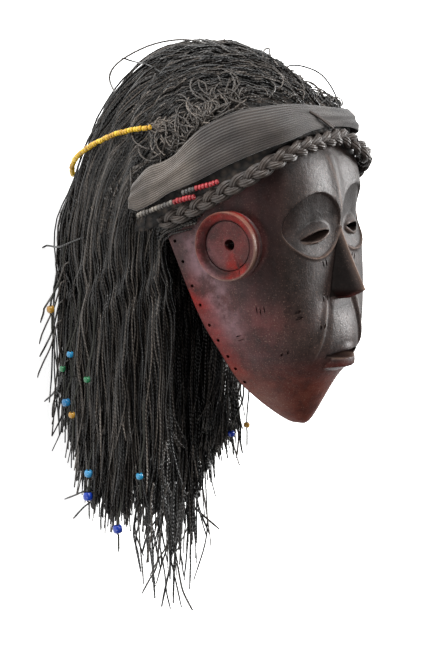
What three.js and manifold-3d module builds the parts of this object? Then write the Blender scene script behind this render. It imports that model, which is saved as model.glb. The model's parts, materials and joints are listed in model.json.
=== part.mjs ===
// A carved wooden female mask with disc ears and a wig of twisted fibre cords.
// All sizes are in millimetres. Every shape is worked out from the tip of the nose: x runs to the
// mask's left, y to the crown and z out of the face. The mask lies face up on the back of its wig,
// so its group is lifted by the height of the nose, with the origin under the middle of its box.

import * as THREE from 'three';
import { mergeVertices } from 'three/addons/utils/BufferGeometryUtils.js';
import { ConvexGeometry } from 'three/addons/geometries/ConvexGeometry.js';
import Module from 'manifold-3d';

const wasm = await Module();
wasm.setup();

// Place of the tip of the nose above the surface that the mask lies on
const NOSE_TIP = [0, 50, 297];

// Wooden face from the chin up: height, half width, depth of the rim, depth of the front,
// squareness of the section
const FACE_STATIONS = [
  [-120, 1, -63, -59.5, 2.0],
  [-118, 9, -66, -56.5, 2.0],
  [-114, 15.5, -70.5, -53.5, 2.1],
  [-108, 22.5, -76, -50, 2.1],
  [-98, 32, -84.5, -45, 2.2],
  [-82, 45.5, -95, -36.5, 2.3],
  [-66, 55, -101.5, -26, 2.6],
  [-52, 61.5, -107, -22, 3.0],
  [-30, 69.5, -117, -23, 3.5],
  [0, 75, -129, -25.5, 3.9],
  [25, 76.5, -139.5, -26, 3.8],
  [48, 77, -149.5, -25.5, 3.6],
  [65, 77, -156, -25, 3.7],
  [90, 76, -160, -29, 3.9],
  [110, 74, -160, -35.5, 4.0],
  [130, 70, -160, -48, 4.0],
];
const CHIN_Y = -120;
const WALL_SIDE = 8;
const WALL_FRONT = 15;
const INNER_CHIN_Y = -106;
const CHIN_ROUNDING = 22;
const FACE_COLUMNS = 30;
const FACE_ROWS = 25;

// The plait runs along the hairline: depth of the surface under it, height of the plait there
const PLAIT_LINE = [
  [-165, 45],
  [-147, 55.5],
  [-107, 76.5],
  [-68, 101],
  [-57.5, 110],
  [-49, 119],
  [-44, 124.5],
  [-38, 127],
];
const PLAIT_LEFT_SAG = 24;
const PLAIT_THICK = 12;
const PLAIT_WIDE = 13.5;
const PLAIT_KNOT = 15;
const PLAIT_CLEAR = 2.8;
const WOOD_OVER_PLAIT = 5.5;

// Eyes: round sockets, each with an almond lid and a slit through it
const EYE = { x: 30.5, y: 48, slant: 9.5, lidLong: 22, lidHigh: 11.5, lidProud: 11, lidDepth: -39.5 };
const SOCKET = { x: 31.5, y: 56.3, z: -34.5, halfWide: 30, halfHigh: 26.7, deep: 4, turn: 17 };
const SLIT = { long: 17, high: 3.6 };

// Nose, mouth and the ears, whose discs face sideways
const NOSE = { bridgeY: 50, bridgeZ: -23.5, wingX: 13, wingY: -7, wingZ: -21, rootZ: -40 };
const MOUTH = { y: -54.5, halfLong: 23, lipHigh: 6.6, lipProud: 13, lipDepth: -26.5, gap: 1.8 };
const EAR = { x: 77, y: 41, z: -86.5, radius: 29.2, proud: 9.5, holeRadius: 4.8, holeForward: 1, holeUp: 0.7 };
const EAR_COLLAR = { forward: 2.5, radius: 29.5, proud: 4 };

// Wig from its tail up: height, half width, half depth, depth of its middle, shift to the left
const WIG_STATIONS = [
  [-300, 80, 88, -203, 0],
  [-210, 84, 94, -202, 0],
  [-150, 86, 97, -200, 0],
  [-95, 87, 99, -199, 0],
  [-50, 88, 111, -191, 0],
  [0, 88, 127, -174, 0],
  [40, 88, 133, -163, 0],
  [63, 88, 129, -156, 0],
  [88, 88, 124, -152, 0],
  [120, 87, 124, -149, 0],
  [202, 87, 127, -150, 0],
];
// Squareness of the wig's front, and of its back, from the ears up
const WIG_FRONT_SQUARE = [
  [90, 3.6],
  [125, 4.6],
  [142, 5.0],
  [158, 2.6],
  [202, 2.0],
];
const WIG_BACK_SQUARE = 2.1;
const CROWN_CENTRE_Y = 60;
const CROWN_HIGH = 141;
const CAP_THICK = 16;
const CAP_OVER_PLAIT = 7.8;
const CURTAIN_TOP_Y = 68;
const CURTAIN_THICK = 30;
const CURTAIN_PROUD = 0.5;
const LOCKS = 17;
const LOCK_STEP = 17;
const LOCK_RIDGE = 2.2;
// Depth of the curtain's two front edges, near ear and far ear, from the tail up
const CURTAIN_EDGES = [
  [-300, -150, -178],
  [-150, -142, -172],
  [-95, -140, -170],
  [-50, -137, -168],
  [0, -140, -166],
  [20, -148, -166],
  [54, -163, -170],
];
// Height of the cord ends round the curtain, from the right front edge to the left one
const CURTAIN_ENDS = [
  [0, -185],
  [0.06, -206],
  [0.12, -212],
  [0.17, -200],
  [0.23, -188],
  [0.29, -158],
  [0.35, -132],
  [0.41, -126],
  [0.475, -134],
  [0.54, -162],
  [0.6, -200],
  [0.66, -222],
  [0.72, -252],
  [0.79, -284],
  [0.85, -289],
  [0.88, -240],
  [0.91, -184],
  [0.955, -158],
  [1, -152],
];

// Cloth band round the head: angle from the front to the right, lower height, upper height
const BAND_STATIONS = [
  [104, 62, 91],
  [96, 67, 103],
  [88, 74.5, 108],
  [81, 82.5, 115],
  [75, 87, 125.5],
  [66, 94.5, 137.5],
  [48, 113.6, 151],
  [34, 126, 155],
  [18, 133, 156],
  [0, 134, 152],
  [-18, 130, 146],
  [-36, 119, 140],
  [-50, 107, 134],
  [-68, 93, 124],
  [-86, 77, 108],
  [-104, 60, 90],
];
const BAND_CLEAR = 2.6;
const BAND_THICK = 2.4;
const BAND_BULGE = 1.6;

// Glass beads: the long yellow string and the two short strings over the right temple
const SEED_BEAD = { radius: 2.7, step: 3, perSwelling: 2 };
const YELLOW_ROUTE = [
  [102, 134],
  [116, 130],
  [129, 123.5],
  [140, 114.5],
  [150, 105],
  [160, 94],
  [168, 84],
  [173, 78],
];
const LOWER_TEMPLE_ROUTE = [
  [96.6, 62],
  [87.5, 68.5],
  [78, 75],
  [67, 81.5],
];
const UPPER_TEMPLE_ROUTE = [
  [72.5, 84.2],
  [64.5, 89.6],
  [56.5, 94.8],
];
// Single beads on cords: angle from the front to the right, height, radius, colour, and how far
// a bead stands off the wig where that is less than on the rest
const HAIR_BEADS = [
  [139, -30, 3.4, 'ochre'],
  [117, -64, 2.8, 'turquoise'],
  [122, -78, 2.6, 'green'],
  [103, -83, 2.8, 'green'],
  [117, -106, 3.6, 'turquoise'],
  [113, -116, 2.8, 'ochre'],
  [101, -164, 3.4, 'pale_blue'],
  [101, -184, 4.0, 'cobalt'],
  [82, -209, 4.0, 'cobalt'],
  [70, -161, 3.0, 'turquoise'],
  [294.5, -151, 2.8, 'cobalt', -22],
  [294.5, -145, 2.6, 'ochre', -6],
];

const COLOURS = {
  wood: { color: 0x43221c, roughness: 0.42, metalness: 0 },
  cord: { color: 0x1c1a18, roughness: 0.8, metalness: 0 },
  cloth: { color: 0x46413c, roughness: 0.9, metalness: 0 },
  plait: { color: 0x57453a, roughness: 0.85, metalness: 0 },
  thong: { color: 0x2a221d, roughness: 0.8, metalness: 0 },
  ochre: { color: 0xc9a227, roughness: 0.3, metalness: 0 },
  red: { color: 0xa03a38, roughness: 0.3, metalness: 0 },
  turquoise: { color: 0x1f8fb8, roughness: 0.2, metalness: 0 },
  green: { color: 0x2c8a5a, roughness: 0.2, metalness: 0 },
  pale_blue: { color: 0x4c9fd0, roughness: 0.2, metalness: 0 },
  cobalt: { color: 0x1b35b8, roughness: 0.2, metalness: 0 },
};

// Helpers on numbers and tables

const radians = THREE.MathUtils.degToRad;
const smooth = THREE.MathUtils.smoothstep;
const lerp = THREE.MathUtils.lerp;

// Smooth values of a table at one place: between two rows runs a cubic whose slope at each row
// is the slope between that row's neighbours
function valuesAt(table, place) {
  const last = table.length - 1;
  const at = THREE.MathUtils.clamp(place, table[0][0], table[last][0]);
  let row = 0;
  while (row < last - 1 && at > table[row + 1][0]) row += 1;
  const slope = (k, column) => {
    const below = table[Math.max(k - 1, 0)];
    const above = table[Math.min(k + 1, last)];
    return (above[column] - below[column]) / (above[0] - below[0]);
  };
  const [start, end] = [table[row], table[row + 1]];
  const span = end[0] - start[0];
  const t = (at - start[0]) / span;
  return start.slice(1).map((value, index) => {
    const column = index + 1;
    const rise = end[column] - value;
    const m0 = slope(row, column) * span;
    const m1 = slope(row + 1, column) * span;
    return value + t * m0 + t * t * (3 * rise - 2 * m0 - m1) + t * t * t * (m0 + m1 - 2 * rise);
  });
}

// Distance from the middle of a superellipse to its edge, at an angle from its front
function superellipse(angle, halfWidth, halfDepth, square) {
  const across = Math.abs(Math.sin(angle)) / halfWidth;
  const along = Math.abs(Math.cos(angle)) / halfDepth;
  return (across ** square + along ** square) ** (-1 / square);
}

// Helpers on solids

// Closed mesh from rings of points, each ring capped or joined to the next one
function loft(rings) {
  const count = rings[0].length;
  const positions = rings.flat().flatMap((p) => [p.x, p.y, p.z]);
  const indices = [];
  for (let ring = 0; ring < rings.length - 1; ring += 1) {
    for (let k = 0; k < count; k += 1) {
      const next = (k + 1) % count;
      const [a, b] = [ring * count + k, ring * count + next];
      const [c, d] = [a + count, b + count];
      indices.push(a, b, d, a, d, c);
    }
  }
  for (const [ring, flip] of [[0, true], [rings.length - 1, false]]) {
    const centre = new THREE.Vector3();
    rings[ring].forEach((p) => centre.addScaledVector(p, 1 / count));
    const middle = positions.length / 3;
    positions.push(centre.x, centre.y, centre.z);
    for (let k = 0; k < count; k += 1) {
      const [a, b] = [ring * count + k, ring * count + ((k + 1) % count)];
      indices.push(...(flip ? [b, a, middle] : [a, b, middle]));
    }
  }
  const geometry = new THREE.BufferGeometry();
  geometry.setAttribute('position', new THREE.Float32BufferAttribute(positions, 3));
  geometry.setIndex(indices);
  return geometry;
}

// Signed volume, to turn a mesh the right way out
function volumeOf(vertices, triangles) {
  const point = (k) => new THREE.Vector3().fromArray(vertices, triangles[k] * 3);
  let volume = 0;
  for (let k = 0; k < triangles.length; k += 3) {
    volume += point(k).dot(point(k + 1).cross(point(k + 2))) / 6;
  }
  return volume;
}

function solidOf(geometry) {
  const plain = geometry.clone();
  plain.deleteAttribute('normal');
  plain.deleteAttribute('uv');
  const merged = mergeVertices(plain, 1e-4);
  const vertProperties = new Float32Array(merged.attributes.position.array);
  const corners = merged.index.array;
  const kept = [];
  for (let k = 0; k < corners.length; k += 3) {
    const [a, b, c] = [corners[k], corners[k + 1], corners[k + 2]];
    if (a !== b && b !== c && c !== a) kept.push(a, b, c);
  }
  if (volumeOf(vertProperties, kept) < 0) kept.reverse();
  return new wasm.Manifold(
    new wasm.Mesh({ numProp: 3, vertProperties, triVerts: new Uint32Array(kept) }),
  );
}

function geometryOf(solid) {
  const { vertProperties, triVerts } = solid.getMesh();
  const geometry = new THREE.BufferGeometry();
  geometry.setAttribute('position', new THREE.BufferAttribute(vertProperties, 3));
  geometry.setIndex(new THREE.BufferAttribute(triVerts, 1));
  geometry.computeVertexNormals();
  return geometry;
}

// Wooden face

// Height of the plait where the surface under it has this place
function plaitHeight(z) {
  return valuesAt(PLAIT_LINE, z)[0];
}

// How much lower the plait hangs over the left temple
function plaitSag(x, z) {
  return PLAIT_LEFT_SAG * smooth(x, 15, 57) * smooth(z, -120, -50);
}

// What the carving adds to the plain front: the muzzle and the keel of the forehead
function relief(x, y) {
  const muzzle = 5 * Math.exp(-((x / 25) ** 2) - ((y + 40) / 22) ** 2);
  const keel = 2.5 * Math.exp(-((x / 8) ** 2)) * smooth(y, 52, 90);
  const groove = -2 * Math.exp(-(((Math.abs(x) - 27 + 0.1 * (y + 30)) / 4) ** 2))
    * smooth(y, -70, -50) * (1 - smooth(y, -25, -8));
  return muzzle + keel + groove;
}

function facePoint(angle, y, shrink = 0) {
  const [halfWidth, rim, front, square] = valuesAt(FACE_STATIONS, y);
  const close = shrink ? Math.sqrt(smooth(y, INNER_CHIN_Y, INNER_CHIN_Y + CHIN_ROUNDING)) : 1;
  const wide = Math.max((halfWidth - shrink * WALL_SIDE) * close, 0.5);
  const deep = Math.max((front - rim - shrink * WALL_FRONT) * close, 0.5);
  const reach = superellipse(angle, wide, deep, square);
  const x = reach * Math.sin(angle);
  const flat = rim + reach * Math.cos(angle);
  const z = shrink ? flat : flat + relief(x, y) * Math.cos(angle) ** 2;
  return new THREE.Vector3(x, y, z);
}

// Height of a line that follows the plait over a surface, at one angle round it
function followPlait(surface, angle, above, sags = false) {
  let y = 90;
  for (let turn = 0; turn < 12; turn += 1) {
    const p = surface(angle, y);
    y = lerp(y, plaitHeight(p.z) + above - (sags ? plaitSag(p.x, p.z) : 0), 0.7);
  }
  return y;
}

// Angle of a column: closer together over the nose, mouth and eyes
function columnAngle(column, columns) {
  const s = (2 * column) / columns - 1;
  return (Math.PI / 2) * s * (0.62 + 0.38 * s * s);
}

function faceSolid() {
  const outer = [];
  for (let row = 0; row <= FACE_ROWS; row += 1) {
    const t = (row / FACE_ROWS) ** 1.12;
    outer.push([]);
    for (let column = 0; column <= FACE_COLUMNS; column += 1) {
      const angle = columnAngle(column, FACE_COLUMNS);
      const top = followPlait(facePoint, angle, WOOD_OVER_PLAIT);
      outer[row].push(facePoint(angle, lerp(CHIN_Y, top, t)));
    }
  }
  const inner = [];
  const rows = 12;
  const columns = 16;
  for (let row = 0; row <= rows; row += 1) {
    const t = (row / rows) ** 1.3;
    const ring = [];
    for (let column = 0; column <= columns; column += 1) {
      const angle = columnAngle(column, columns);
      const top = followPlait(facePoint, angle, WOOD_OVER_PLAIT) + 12;
      ring.push(facePoint(angle, lerp(INNER_CHIN_Y, top, t), 1));
    }
    const back = (p) => new THREE.Vector3(p.x, p.y, p.z - 8);
    inner.push([back(ring[0]), ...ring, back(ring[columns])]);
  }
  return solidOf(loft(outer)).subtract(solidOf(loft(inner)));
}

// Almond outline between two arcs, as a prism through the wall
function almondPrism(halfLong, halfHigh, near, far) {
  const shape = new THREE.Shape();
  shape.moveTo(-halfLong, 0);
  shape.quadraticCurveTo(0, 2 * halfHigh, halfLong, 0);
  shape.quadraticCurveTo(0, -2 * halfHigh, -halfLong, 0);
  const prism = new THREE.ExtrudeGeometry(shape, {
    depth: near - far, steps: 1, bevelEnabled: false, curveSegments: 6,
  });
  return prism.translate(0, 0, far);
}

// One eye: the round socket sunk into the front with a dished floor, its lid and its slit
function eyeParts(side) {
  const turn = radians(EYE.slant) * -side;
  const floor = [[0, -SOCKET.deep], [0.6, -0.75 * SOCKET.deep], [1, 0], [1, 30], [0, 30]];
  const dish = new THREE.LatheGeometry(floor.map(([x, y]) => new THREE.Vector2(x, y)), 24);
  dish.rotateX(Math.PI / 2).scale(SOCKET.halfWide, SOCKET.halfHigh, 1);
  dish.rotateY(side * radians(SOCKET.turn)).translate(side * SOCKET.x, SOCKET.y, SOCKET.z);
  const lid = new THREE.SphereGeometry(1, 14, 8);
  lid.scale(EYE.lidLong, EYE.lidHigh, EYE.lidProud);
  lid.rotateY(side * radians(16)).rotateZ(turn);
  lid.translate(side * EYE.x, EYE.y, EYE.lidDepth);
  const slit = almondPrism(SLIT.long, SLIT.high, 20, -40);
  slit.rotateZ(turn).translate(side * EYE.x, EYE.y, EYE.lidDepth + 6);
  return { dish: solidOf(dish), lid: solidOf(lid), slit: solidOf(slit) };
}

// A lip is half of a flattened ball, so that it meets the other lip at the slit
function lipSolid(up) {
  const lip = new THREE.SphereGeometry(1, 14, 6);
  lip.scale(MOUTH.halfLong, MOUTH.lipHigh, MOUTH.lipProud);
  lip.translate(0, MOUTH.y + up * (MOUTH.lipHigh - 1.4), MOUTH.lipDepth - (up < 0 ? 1 : 0));
  return solidOf(lip);
}

function noseSolid() {
  const { bridgeY, bridgeZ, wingX, wingY, wingZ, rootZ } = NOSE;
  const corners = [[0, bridgeY, bridgeZ], [0, 0, 0], [0, bridgeY, rootZ]];
  for (const side of [-1, 1]) {
    corners.push([side * wingX, wingY, wingZ], [side * wingX, wingY, rootZ]);
    corners.push([side * 3, bridgeY, rootZ], [side * 3.5, -3, -5]);
  }
  return solidOf(new ConvexGeometry(corners.map((p) => new THREE.Vector3(...p))));
}

// Disc ear: a turned disc with a raised rim round a shallow dish, the low collar that shows in
// front of it, and its hole
function earParts(side) {
  const r = EAR.radius;
  const profile = [
    [0, -7.4], [r - 10, -7.4], [r, 4], [r - 1, EAR.proud - 1], [r - 4, EAR.proud],
    [r - 7, EAR.proud - 2], [r - 8.5, 3.6], [0, 1.6],
  ].map(([x, y]) => new THREE.Vector2(x, y));
  const collarProfile = [
    [0, -7.4], [EAR_COLLAR.radius - 9, -7.4], [EAR_COLLAR.radius, EAR_COLLAR.proud - 3],
    [EAR_COLLAR.radius - 2, EAR_COLLAR.proud], [0, EAR_COLLAR.proud - 2.5],
  ].map(([x, y]) => new THREE.Vector2(x, y));
  const place = (geometry, forward, up = 0) => geometry.rotateZ(-side * Math.PI / 2)
    .translate(side * EAR.x, EAR.y + up, EAR.z + forward);
  const disc = place(new THREE.LatheGeometry(profile, 22), 0);
  const collar = place(new THREE.LatheGeometry(collarProfile, 22), EAR_COLLAR.forward);
  const hole = place(
    new THREE.CylinderGeometry(EAR.holeRadius, EAR.holeRadius, 60, 10), EAR.holeForward, EAR.holeUp,
  );
  return { disc: solidOf(disc), collar: solidOf(collar), hole: solidOf(hole) };
}

function woodenFace() {
  let face = faceSolid();
  const cuts = [];
  for (const side of [-1, 1]) {
    const ear = earParts(side);
    const eye = eyeParts(side);
    face = face.add(ear.collar).add(ear.disc).subtract(eye.dish).add(eye.lid);
    cuts.push(ear.hole, eye.slit);
  }
  face = face.add(noseSolid()).add(lipSolid(1)).add(lipSolid(-1));
  const slit = almondPrism(MOUTH.halfLong - 2, MOUTH.gap, 10, MOUTH.lipDepth - 2);
  cuts.push(solidOf(slit.translate(0, MOUTH.y, 0)));
  cuts.forEach((cut) => {
    face = face.subtract(cut);
  });
  return geometryOf(face);
}

// Wig

function wigPoint(angle, y, inset = 0) {
  const [halfWidth, halfDepth, middle, shift] = valuesAt(WIG_STATIONS, y);
  const rise = Math.max(y - CROWN_CENTRE_Y, 0) / CROWN_HIGH;
  const taper = Math.sqrt(Math.max(1 - rise * rise, 0));
  const front = valuesAt(WIG_FRONT_SQUARE, y)[0];
  const square = lerp(WIG_BACK_SQUARE, front, smooth(Math.cos(angle), -0.1, 0.1));
  const reach = superellipse(angle, halfWidth, halfDepth, square) * taper;
  const kept = Math.max(reach - inset, 0.3 * reach);
  const z = middle + kept * Math.cos(angle);
  return new THREE.Vector3(shift - kept * Math.sin(angle), y, Math.max(z, -NOSE_TIP[2]));
}

// Knotted cap with the cords lying over it, closed at the crown and cut off along the plait
function capSolid(inset, below, columns, rows) {
  const top = CROWN_CENTRE_Y + CROWN_HIGH - (inset ? CAP_THICK : 0.2);
  const rings = [];
  for (let row = 0; row <= rows; row += 1) {
    rings.push([]);
    for (let column = 0; column < columns; column += 1) {
      const angle = (2 * Math.PI * column) / columns;
      const hem = followPlait(wigPoint, angle, CAP_OVER_PLAIT);
      const y = lerp(hem - below, top, Math.sin((Math.PI / 2) * (row / rows)));
      const inner = inset ? Math.sqrt(1 - (row / rows) ** 3) : 1;
      const p = wigPoint(angle, y, inset);
      rings[row].push(new THREE.Vector3(p.x * inner, p.y, lerp(-150, p.z, inner)));
    }
  }
  return solidOf(loft(rings));
}

// Angle of the curtain's edge that has this depth, at this height
function edgeAngle(depth, y) {
  const [halfWidth, halfDepth, middle] = valuesAt(WIG_STATIONS, y);
  const along = THREE.MathUtils.clamp((depth - middle) / halfDepth, -0.95, 0.95);
  const across = halfWidth * (1 - Math.abs(along) ** 2.6) ** (1 / 2.6);
  return Math.atan2(across, depth - middle);
}

// Curtain of cords from ear to ear round the neck, its cords gathered in locks of uneven length
function curtainSolid() {
  const columns = 2 * LOCKS;
  const rows = 9;
  const sheet = (inset) => {
    const lines = [];
    for (let row = 0; row <= rows; row += 1) {
      const t = row / rows;
      const line = [];
      for (let column = 0; column <= columns; column += 1) {
        const u = column / columns;
        const ridge = column % 2 ? 1 : -1;
        const end = valuesAt(CURTAIN_ENDS, u)[0] - (LOCK_STEP / 2) * ridge;
        const y = lerp(CURTAIN_TOP_Y, end, t);
        const [nearEdge, farEdge] = valuesAt(CURTAIN_EDGES, y);
        const start = edgeAngle(nearEdge, y);
        const finish = 2 * Math.PI - edgeAngle(farEdge, y);
        const lift = inset ? 0 : -CURTAIN_PROUD - LOCK_RIDGE * ridge * smooth(t, 0.1, 0.5);
        line.push(wigPoint(lerp(start, finish, u), y, inset + lift));
      }
      lines.push(line);
    }
    return lines;
  };
  const outside = sheet(0);
  const inside = sheet(CURTAIN_THICK);
  return solidOf(loft(outside.map((line, row) => [...line, ...inside[row].reverse()])));
}

function cordWig() {
  const cap = capSolid(0, 0, 34, 9).subtract(capSolid(CAP_THICK, 12, 20, 6));
  return geometryOf(cap.add(curtainSolid()));
}

// Band, plait and beads

// Point over the wig at an angle and height, a distance off its surface
function overWig(degrees, y, off) {
  return wigPoint(radians(degrees), y, -off);
}

function clothBand() {
  const rings = [];
  const steps = 32;
  const stations = [...BAND_STATIONS].reverse();
  for (let step = 0; step <= steps; step += 1) {
    const place = lerp(-104, 104, step / steps);
    const [lower, upper] = valuesAt(stations, place);
    const middle = (lower + upper) / 2;
    const face = BAND_CLEAR + BAND_THICK;
    rings.push([
      overWig(place, lower, BAND_CLEAR),
      overWig(place, lower, face),
      overWig(place, middle, face + BAND_BULGE),
      overWig(place, upper, face),
      overWig(place, upper, BAND_CLEAR),
      overWig(place, middle, BAND_CLEAR + BAND_BULGE),
    ]);
  }
  return geometryOf(solidOf(loft(rings)));
}

// Closed round bar along a curve, its two half widths given at each step
function barAlong(curve, steps, sides, halfWidths) {
  const frames = curve.computeFrenetFrames(steps);
  const rings = [];
  for (let step = 0; step <= steps; step += 1) {
    const centre = curve.getPointAt(step / steps);
    const ring = [];
    for (let k = 0; k < sides; k += 1) {
      const angle = (2 * Math.PI * k) / sides;
      const [across, up] = halfWidths(step, angle);
      ring.push(centre.clone()
        .addScaledVector(frames.normals[step], across * Math.cos(angle))
        .addScaledVector(frames.binormals[step], up * Math.sin(angle)));
    }
    rings.push(ring);
  }
  return loft(rings);
}

// The plait: a flattened bar whose knots swell in turn on its two edges
function foreheadPlait() {
  const points = [];
  for (let step = 0; step <= 40; step += 1) {
    const angle = lerp(-1.53, 1.53, step / 40);
    const y = followPlait(facePoint, angle, 0, true);
    const along = facePoint(angle + 0.01, y).sub(facePoint(angle - 0.01, y));
    const out = new THREE.Vector3(-along.z, 0, along.x).normalize();
    points.push(facePoint(angle, y).addScaledVector(out, PLAIT_THICK / 2 + PLAIT_CLEAR));
  }
  const curve = new THREE.CatmullRomCurve3(points);
  const length = curve.getLength();
  const steps = Math.round((length / PLAIT_KNOT) * 3);
  const bar = barAlong(curve, steps, 6, (step, angle) => {
    const turn = (2 * Math.PI * step) / 3;
    const knot = 1 + 0.14 * Math.sin(turn + 2 * angle) + 0.08 * Math.sin(angle - turn);
    return [(knot * PLAIT_THICK) / 2, (knot * PLAIT_WIDE) / 2];
  });
  return geometryOf(solidOf(bar));
}

// Seed beads on a thread over the wig, each swelling of the string standing for a pair of them
function beadString(route) {
  const off = SEED_BEAD.radius + 1.4;
  const places = route.map(([degrees, y]) => overWig(degrees, y, off));
  const curve = new THREE.CatmullRomCurve3(places);
  const pairs = Math.round(curve.getLength() / (SEED_BEAD.step * SEED_BEAD.perSwelling));
  const bar = barAlong(curve, pairs * 2, 5, (step) => {
    const radius = SEED_BEAD.radius * (step % 2 ? 1 : 0.7);
    return [radius, radius];
  });
  return geometryOf(solidOf(bar));
}

function hairBead([degrees, y, radius, , off = radius + CURTAIN_PROUD + LOCK_RIDGE + 0.4]) {
  const bead = new THREE.SphereGeometry(radius, 6, 4);
  const p = overWig(degrees, y, off);
  bead.translate(p.x, p.y, Math.max(p.z, radius + 0.2 - NOSE_TIP[2]));
  return bead;
}

// Thin thong tied at the front edge of the band
function bandThong() {
  const curve = new THREE.CatmullRomCurve3([
    overWig(7, 145, 8),
    overWig(3, 140, 8.6),
    overWig(-1, 135.5, 8.2),
  ]);
  return geometryOf(solidOf(barAlong(curve, 5, 6, () => [1.1, 1.1])));
}

// The mask put together

const mask = new THREE.Group();
mask.position.set(...NOSE_TIP);

function place(name, geometry, colour) {
  const mesh = new THREE.Mesh(geometry, new THREE.MeshStandardMaterial(COLOURS[colour]));
  mesh.name = name;
  mask.add(mesh);
}

place('wooden_face', woodenFace(), 'wood');
place('cord_wig', cordWig(), 'cord');
place('cloth_headband', clothBand(), 'cloth');
place('forehead_plait', foreheadPlait(), 'plait');
place('band_thong', bandThong(), 'thong');
place('yellow_bead_string', beadString(YELLOW_ROUTE), 'ochre');
place('temple_beads_lower', beadString(LOWER_TEMPLE_ROUTE), 'red');
place('temple_beads_upper', beadString(UPPER_TEMPLE_ROUTE), 'red');
HAIR_BEADS.forEach((bead, index) => {
  place(`hair_bead_${String(index + 1).padStart(2, '0')}`, hairBead(bead), bead[3]);
});

export default mask;
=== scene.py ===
"""Looks of a carved wooden female mask with disc ears and a wig of twisted fibre cords."""

import json
import math

import bpy
import numpy as np
from mathutils import Matrix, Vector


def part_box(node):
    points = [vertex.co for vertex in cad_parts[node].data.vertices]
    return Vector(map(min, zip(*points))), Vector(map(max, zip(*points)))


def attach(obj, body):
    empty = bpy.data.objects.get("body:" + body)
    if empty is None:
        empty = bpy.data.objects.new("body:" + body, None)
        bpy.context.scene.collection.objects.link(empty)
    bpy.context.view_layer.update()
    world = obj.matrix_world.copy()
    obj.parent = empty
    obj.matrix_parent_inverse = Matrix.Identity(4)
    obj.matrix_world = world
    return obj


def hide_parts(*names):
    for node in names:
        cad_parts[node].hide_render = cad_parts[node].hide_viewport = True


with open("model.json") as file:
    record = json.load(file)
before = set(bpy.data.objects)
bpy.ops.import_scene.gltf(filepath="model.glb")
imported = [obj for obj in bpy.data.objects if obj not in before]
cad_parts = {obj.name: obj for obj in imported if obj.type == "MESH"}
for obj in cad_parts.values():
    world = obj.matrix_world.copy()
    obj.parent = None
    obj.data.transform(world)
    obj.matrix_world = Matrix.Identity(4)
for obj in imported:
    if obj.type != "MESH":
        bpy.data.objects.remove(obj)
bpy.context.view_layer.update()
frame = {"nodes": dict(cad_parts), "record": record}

# Lengths below are in millimetres from the tip of the nose: x to the mask's left, y to the crown
# and z out of the face. Finished pieces have the same axes, from the middle of the mask's back.
NOSE_TIP = np.array([0.0, 50.0, 297.0])
MILLIMETRE = 0.001

# Soft lights: the way they lie seen from the mask, their distance in metres and power in watts
LIGHTS = {
    "rim": ((0.8, 0.15, 0.6), 1.7, 46),
    "key": ((-0.12, 0.4, 0.9), 1.7, 12),
    "top": ((-0.35, 0.95, 0.4), 1.7, 34),
    "near": ((-1.0, -0.35, 0.16), 2.0, 10),
}
LIGHT_SIZE = 0.6
LIGHTS_AIM = np.array([0, 0.02, 0.15])
FLOOR_HALF = 6.0
FLOOR_GLOW = 0.85
ROOM_GLOW = 0.16

# The photograph's view: towards the camera, up and right in the image, and its scale
TO_CAMERA = np.array([-0.844, 0.174, 0.507])
IMAGE_UP = np.array([0.149, 0.985, -0.0895])
IMAGE_SIZE = (432, 648)
NOSE_PIXEL = (364.0, 290.0)
PIXEL = 0.85
CAMERA_DISTANCE = 5.0
CAMERA_FILM = 36.0
WIG_MIDDLE = np.array([0, -40.0, -140.0])

# Wooden face: height, half width, depth of the rim, depth of the front, squareness
FACE_STATIONS = [
    (-120, 1, -63, -59.5, 2.0),
    (-118, 9, -66, -56.5, 2.0),
    (-114, 15.5, -70.5, -53.5, 2.1),
    (-108, 22.5, -76, -50, 2.1),
    (-98, 32, -84.5, -45, 2.2),
    (-82, 45.5, -95, -36.5, 2.3),
    (-66, 55, -101.5, -26, 2.6),
    (-52, 61.5, -107, -22, 3.0),
    (-30, 69.5, -117, -23, 3.5),
    (0, 75, -129, -25.5, 3.9),
    (25, 76.5, -139.5, -26, 3.8),
    (48, 77, -149.5, -25.5, 3.6),
    (65, 77, -156, -25, 3.7),
    (90, 76, -160, -29, 3.9),
    (110, 74, -160, -35.5, 4.0),
    (130, 70, -160, -48, 4.0),
]
CHIN_Y = -120
INNER_CHIN_Y = -106
CHIN_ROUNDING = 22
WALL_SIDE = 8
WALL_FRONT = 15
WOOD_OVER_PLAIT = 5.5
# How far the hollow runs out over the wood's top and behind its rim, so that it cuts through
HOLLOW_OVER = 12
HOLLOW_BEHIND = 8.0
# Where the section is measured for its columns, and how much wider they are on the sides
SECTION = dict(y=30.0, front_half=68, side_share=0.42)

# The plait along the hairline: depth of the surface under it, height of the plait there
PLAIT_LINE = [
    (-165, 45),
    (-147, 55.5),
    (-107, 76.5),
    (-68, 101),
    (-57.5, 110),
    (-49, 119),
    (-44, 124.5),
    (-38, 127),
]
PLAIT_LEFT_SAG = dict(deep=24, x=(15, 57), z=(-120, -50))
PLAIT_THICK = 12
PLAIT_CLEAR = 2.8
PLAIT_PERIOD = 42
PLAIT_ENDS = 1.53
PLAIT_STEPS = 330
# Way of a strand beside and over the plait's middle, and the fine cords of a strand
PLAIT_SWING = 4.0
PLAIT_HEAVE = 2.5
PLAIT_CORDS = dict(count=7, turn_length=70, aside=2.35, over=2.15, radius=1.22, sides=8)

# Carving of the face
MUZZLE = dict(high=5, y=-40, half_wide=25, half_high=22)
KEEL = dict(high=2.5, half_wide=8, fades=(52, 90))
EYE = dict(x=30.5, y=47.2, slant=9.5, half_long=21, upper=13, lower=9.5, proud=11, depth=-39.5, turn=16)
SLIT = dict(half_long=17.2, half_high=4.0)
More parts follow.
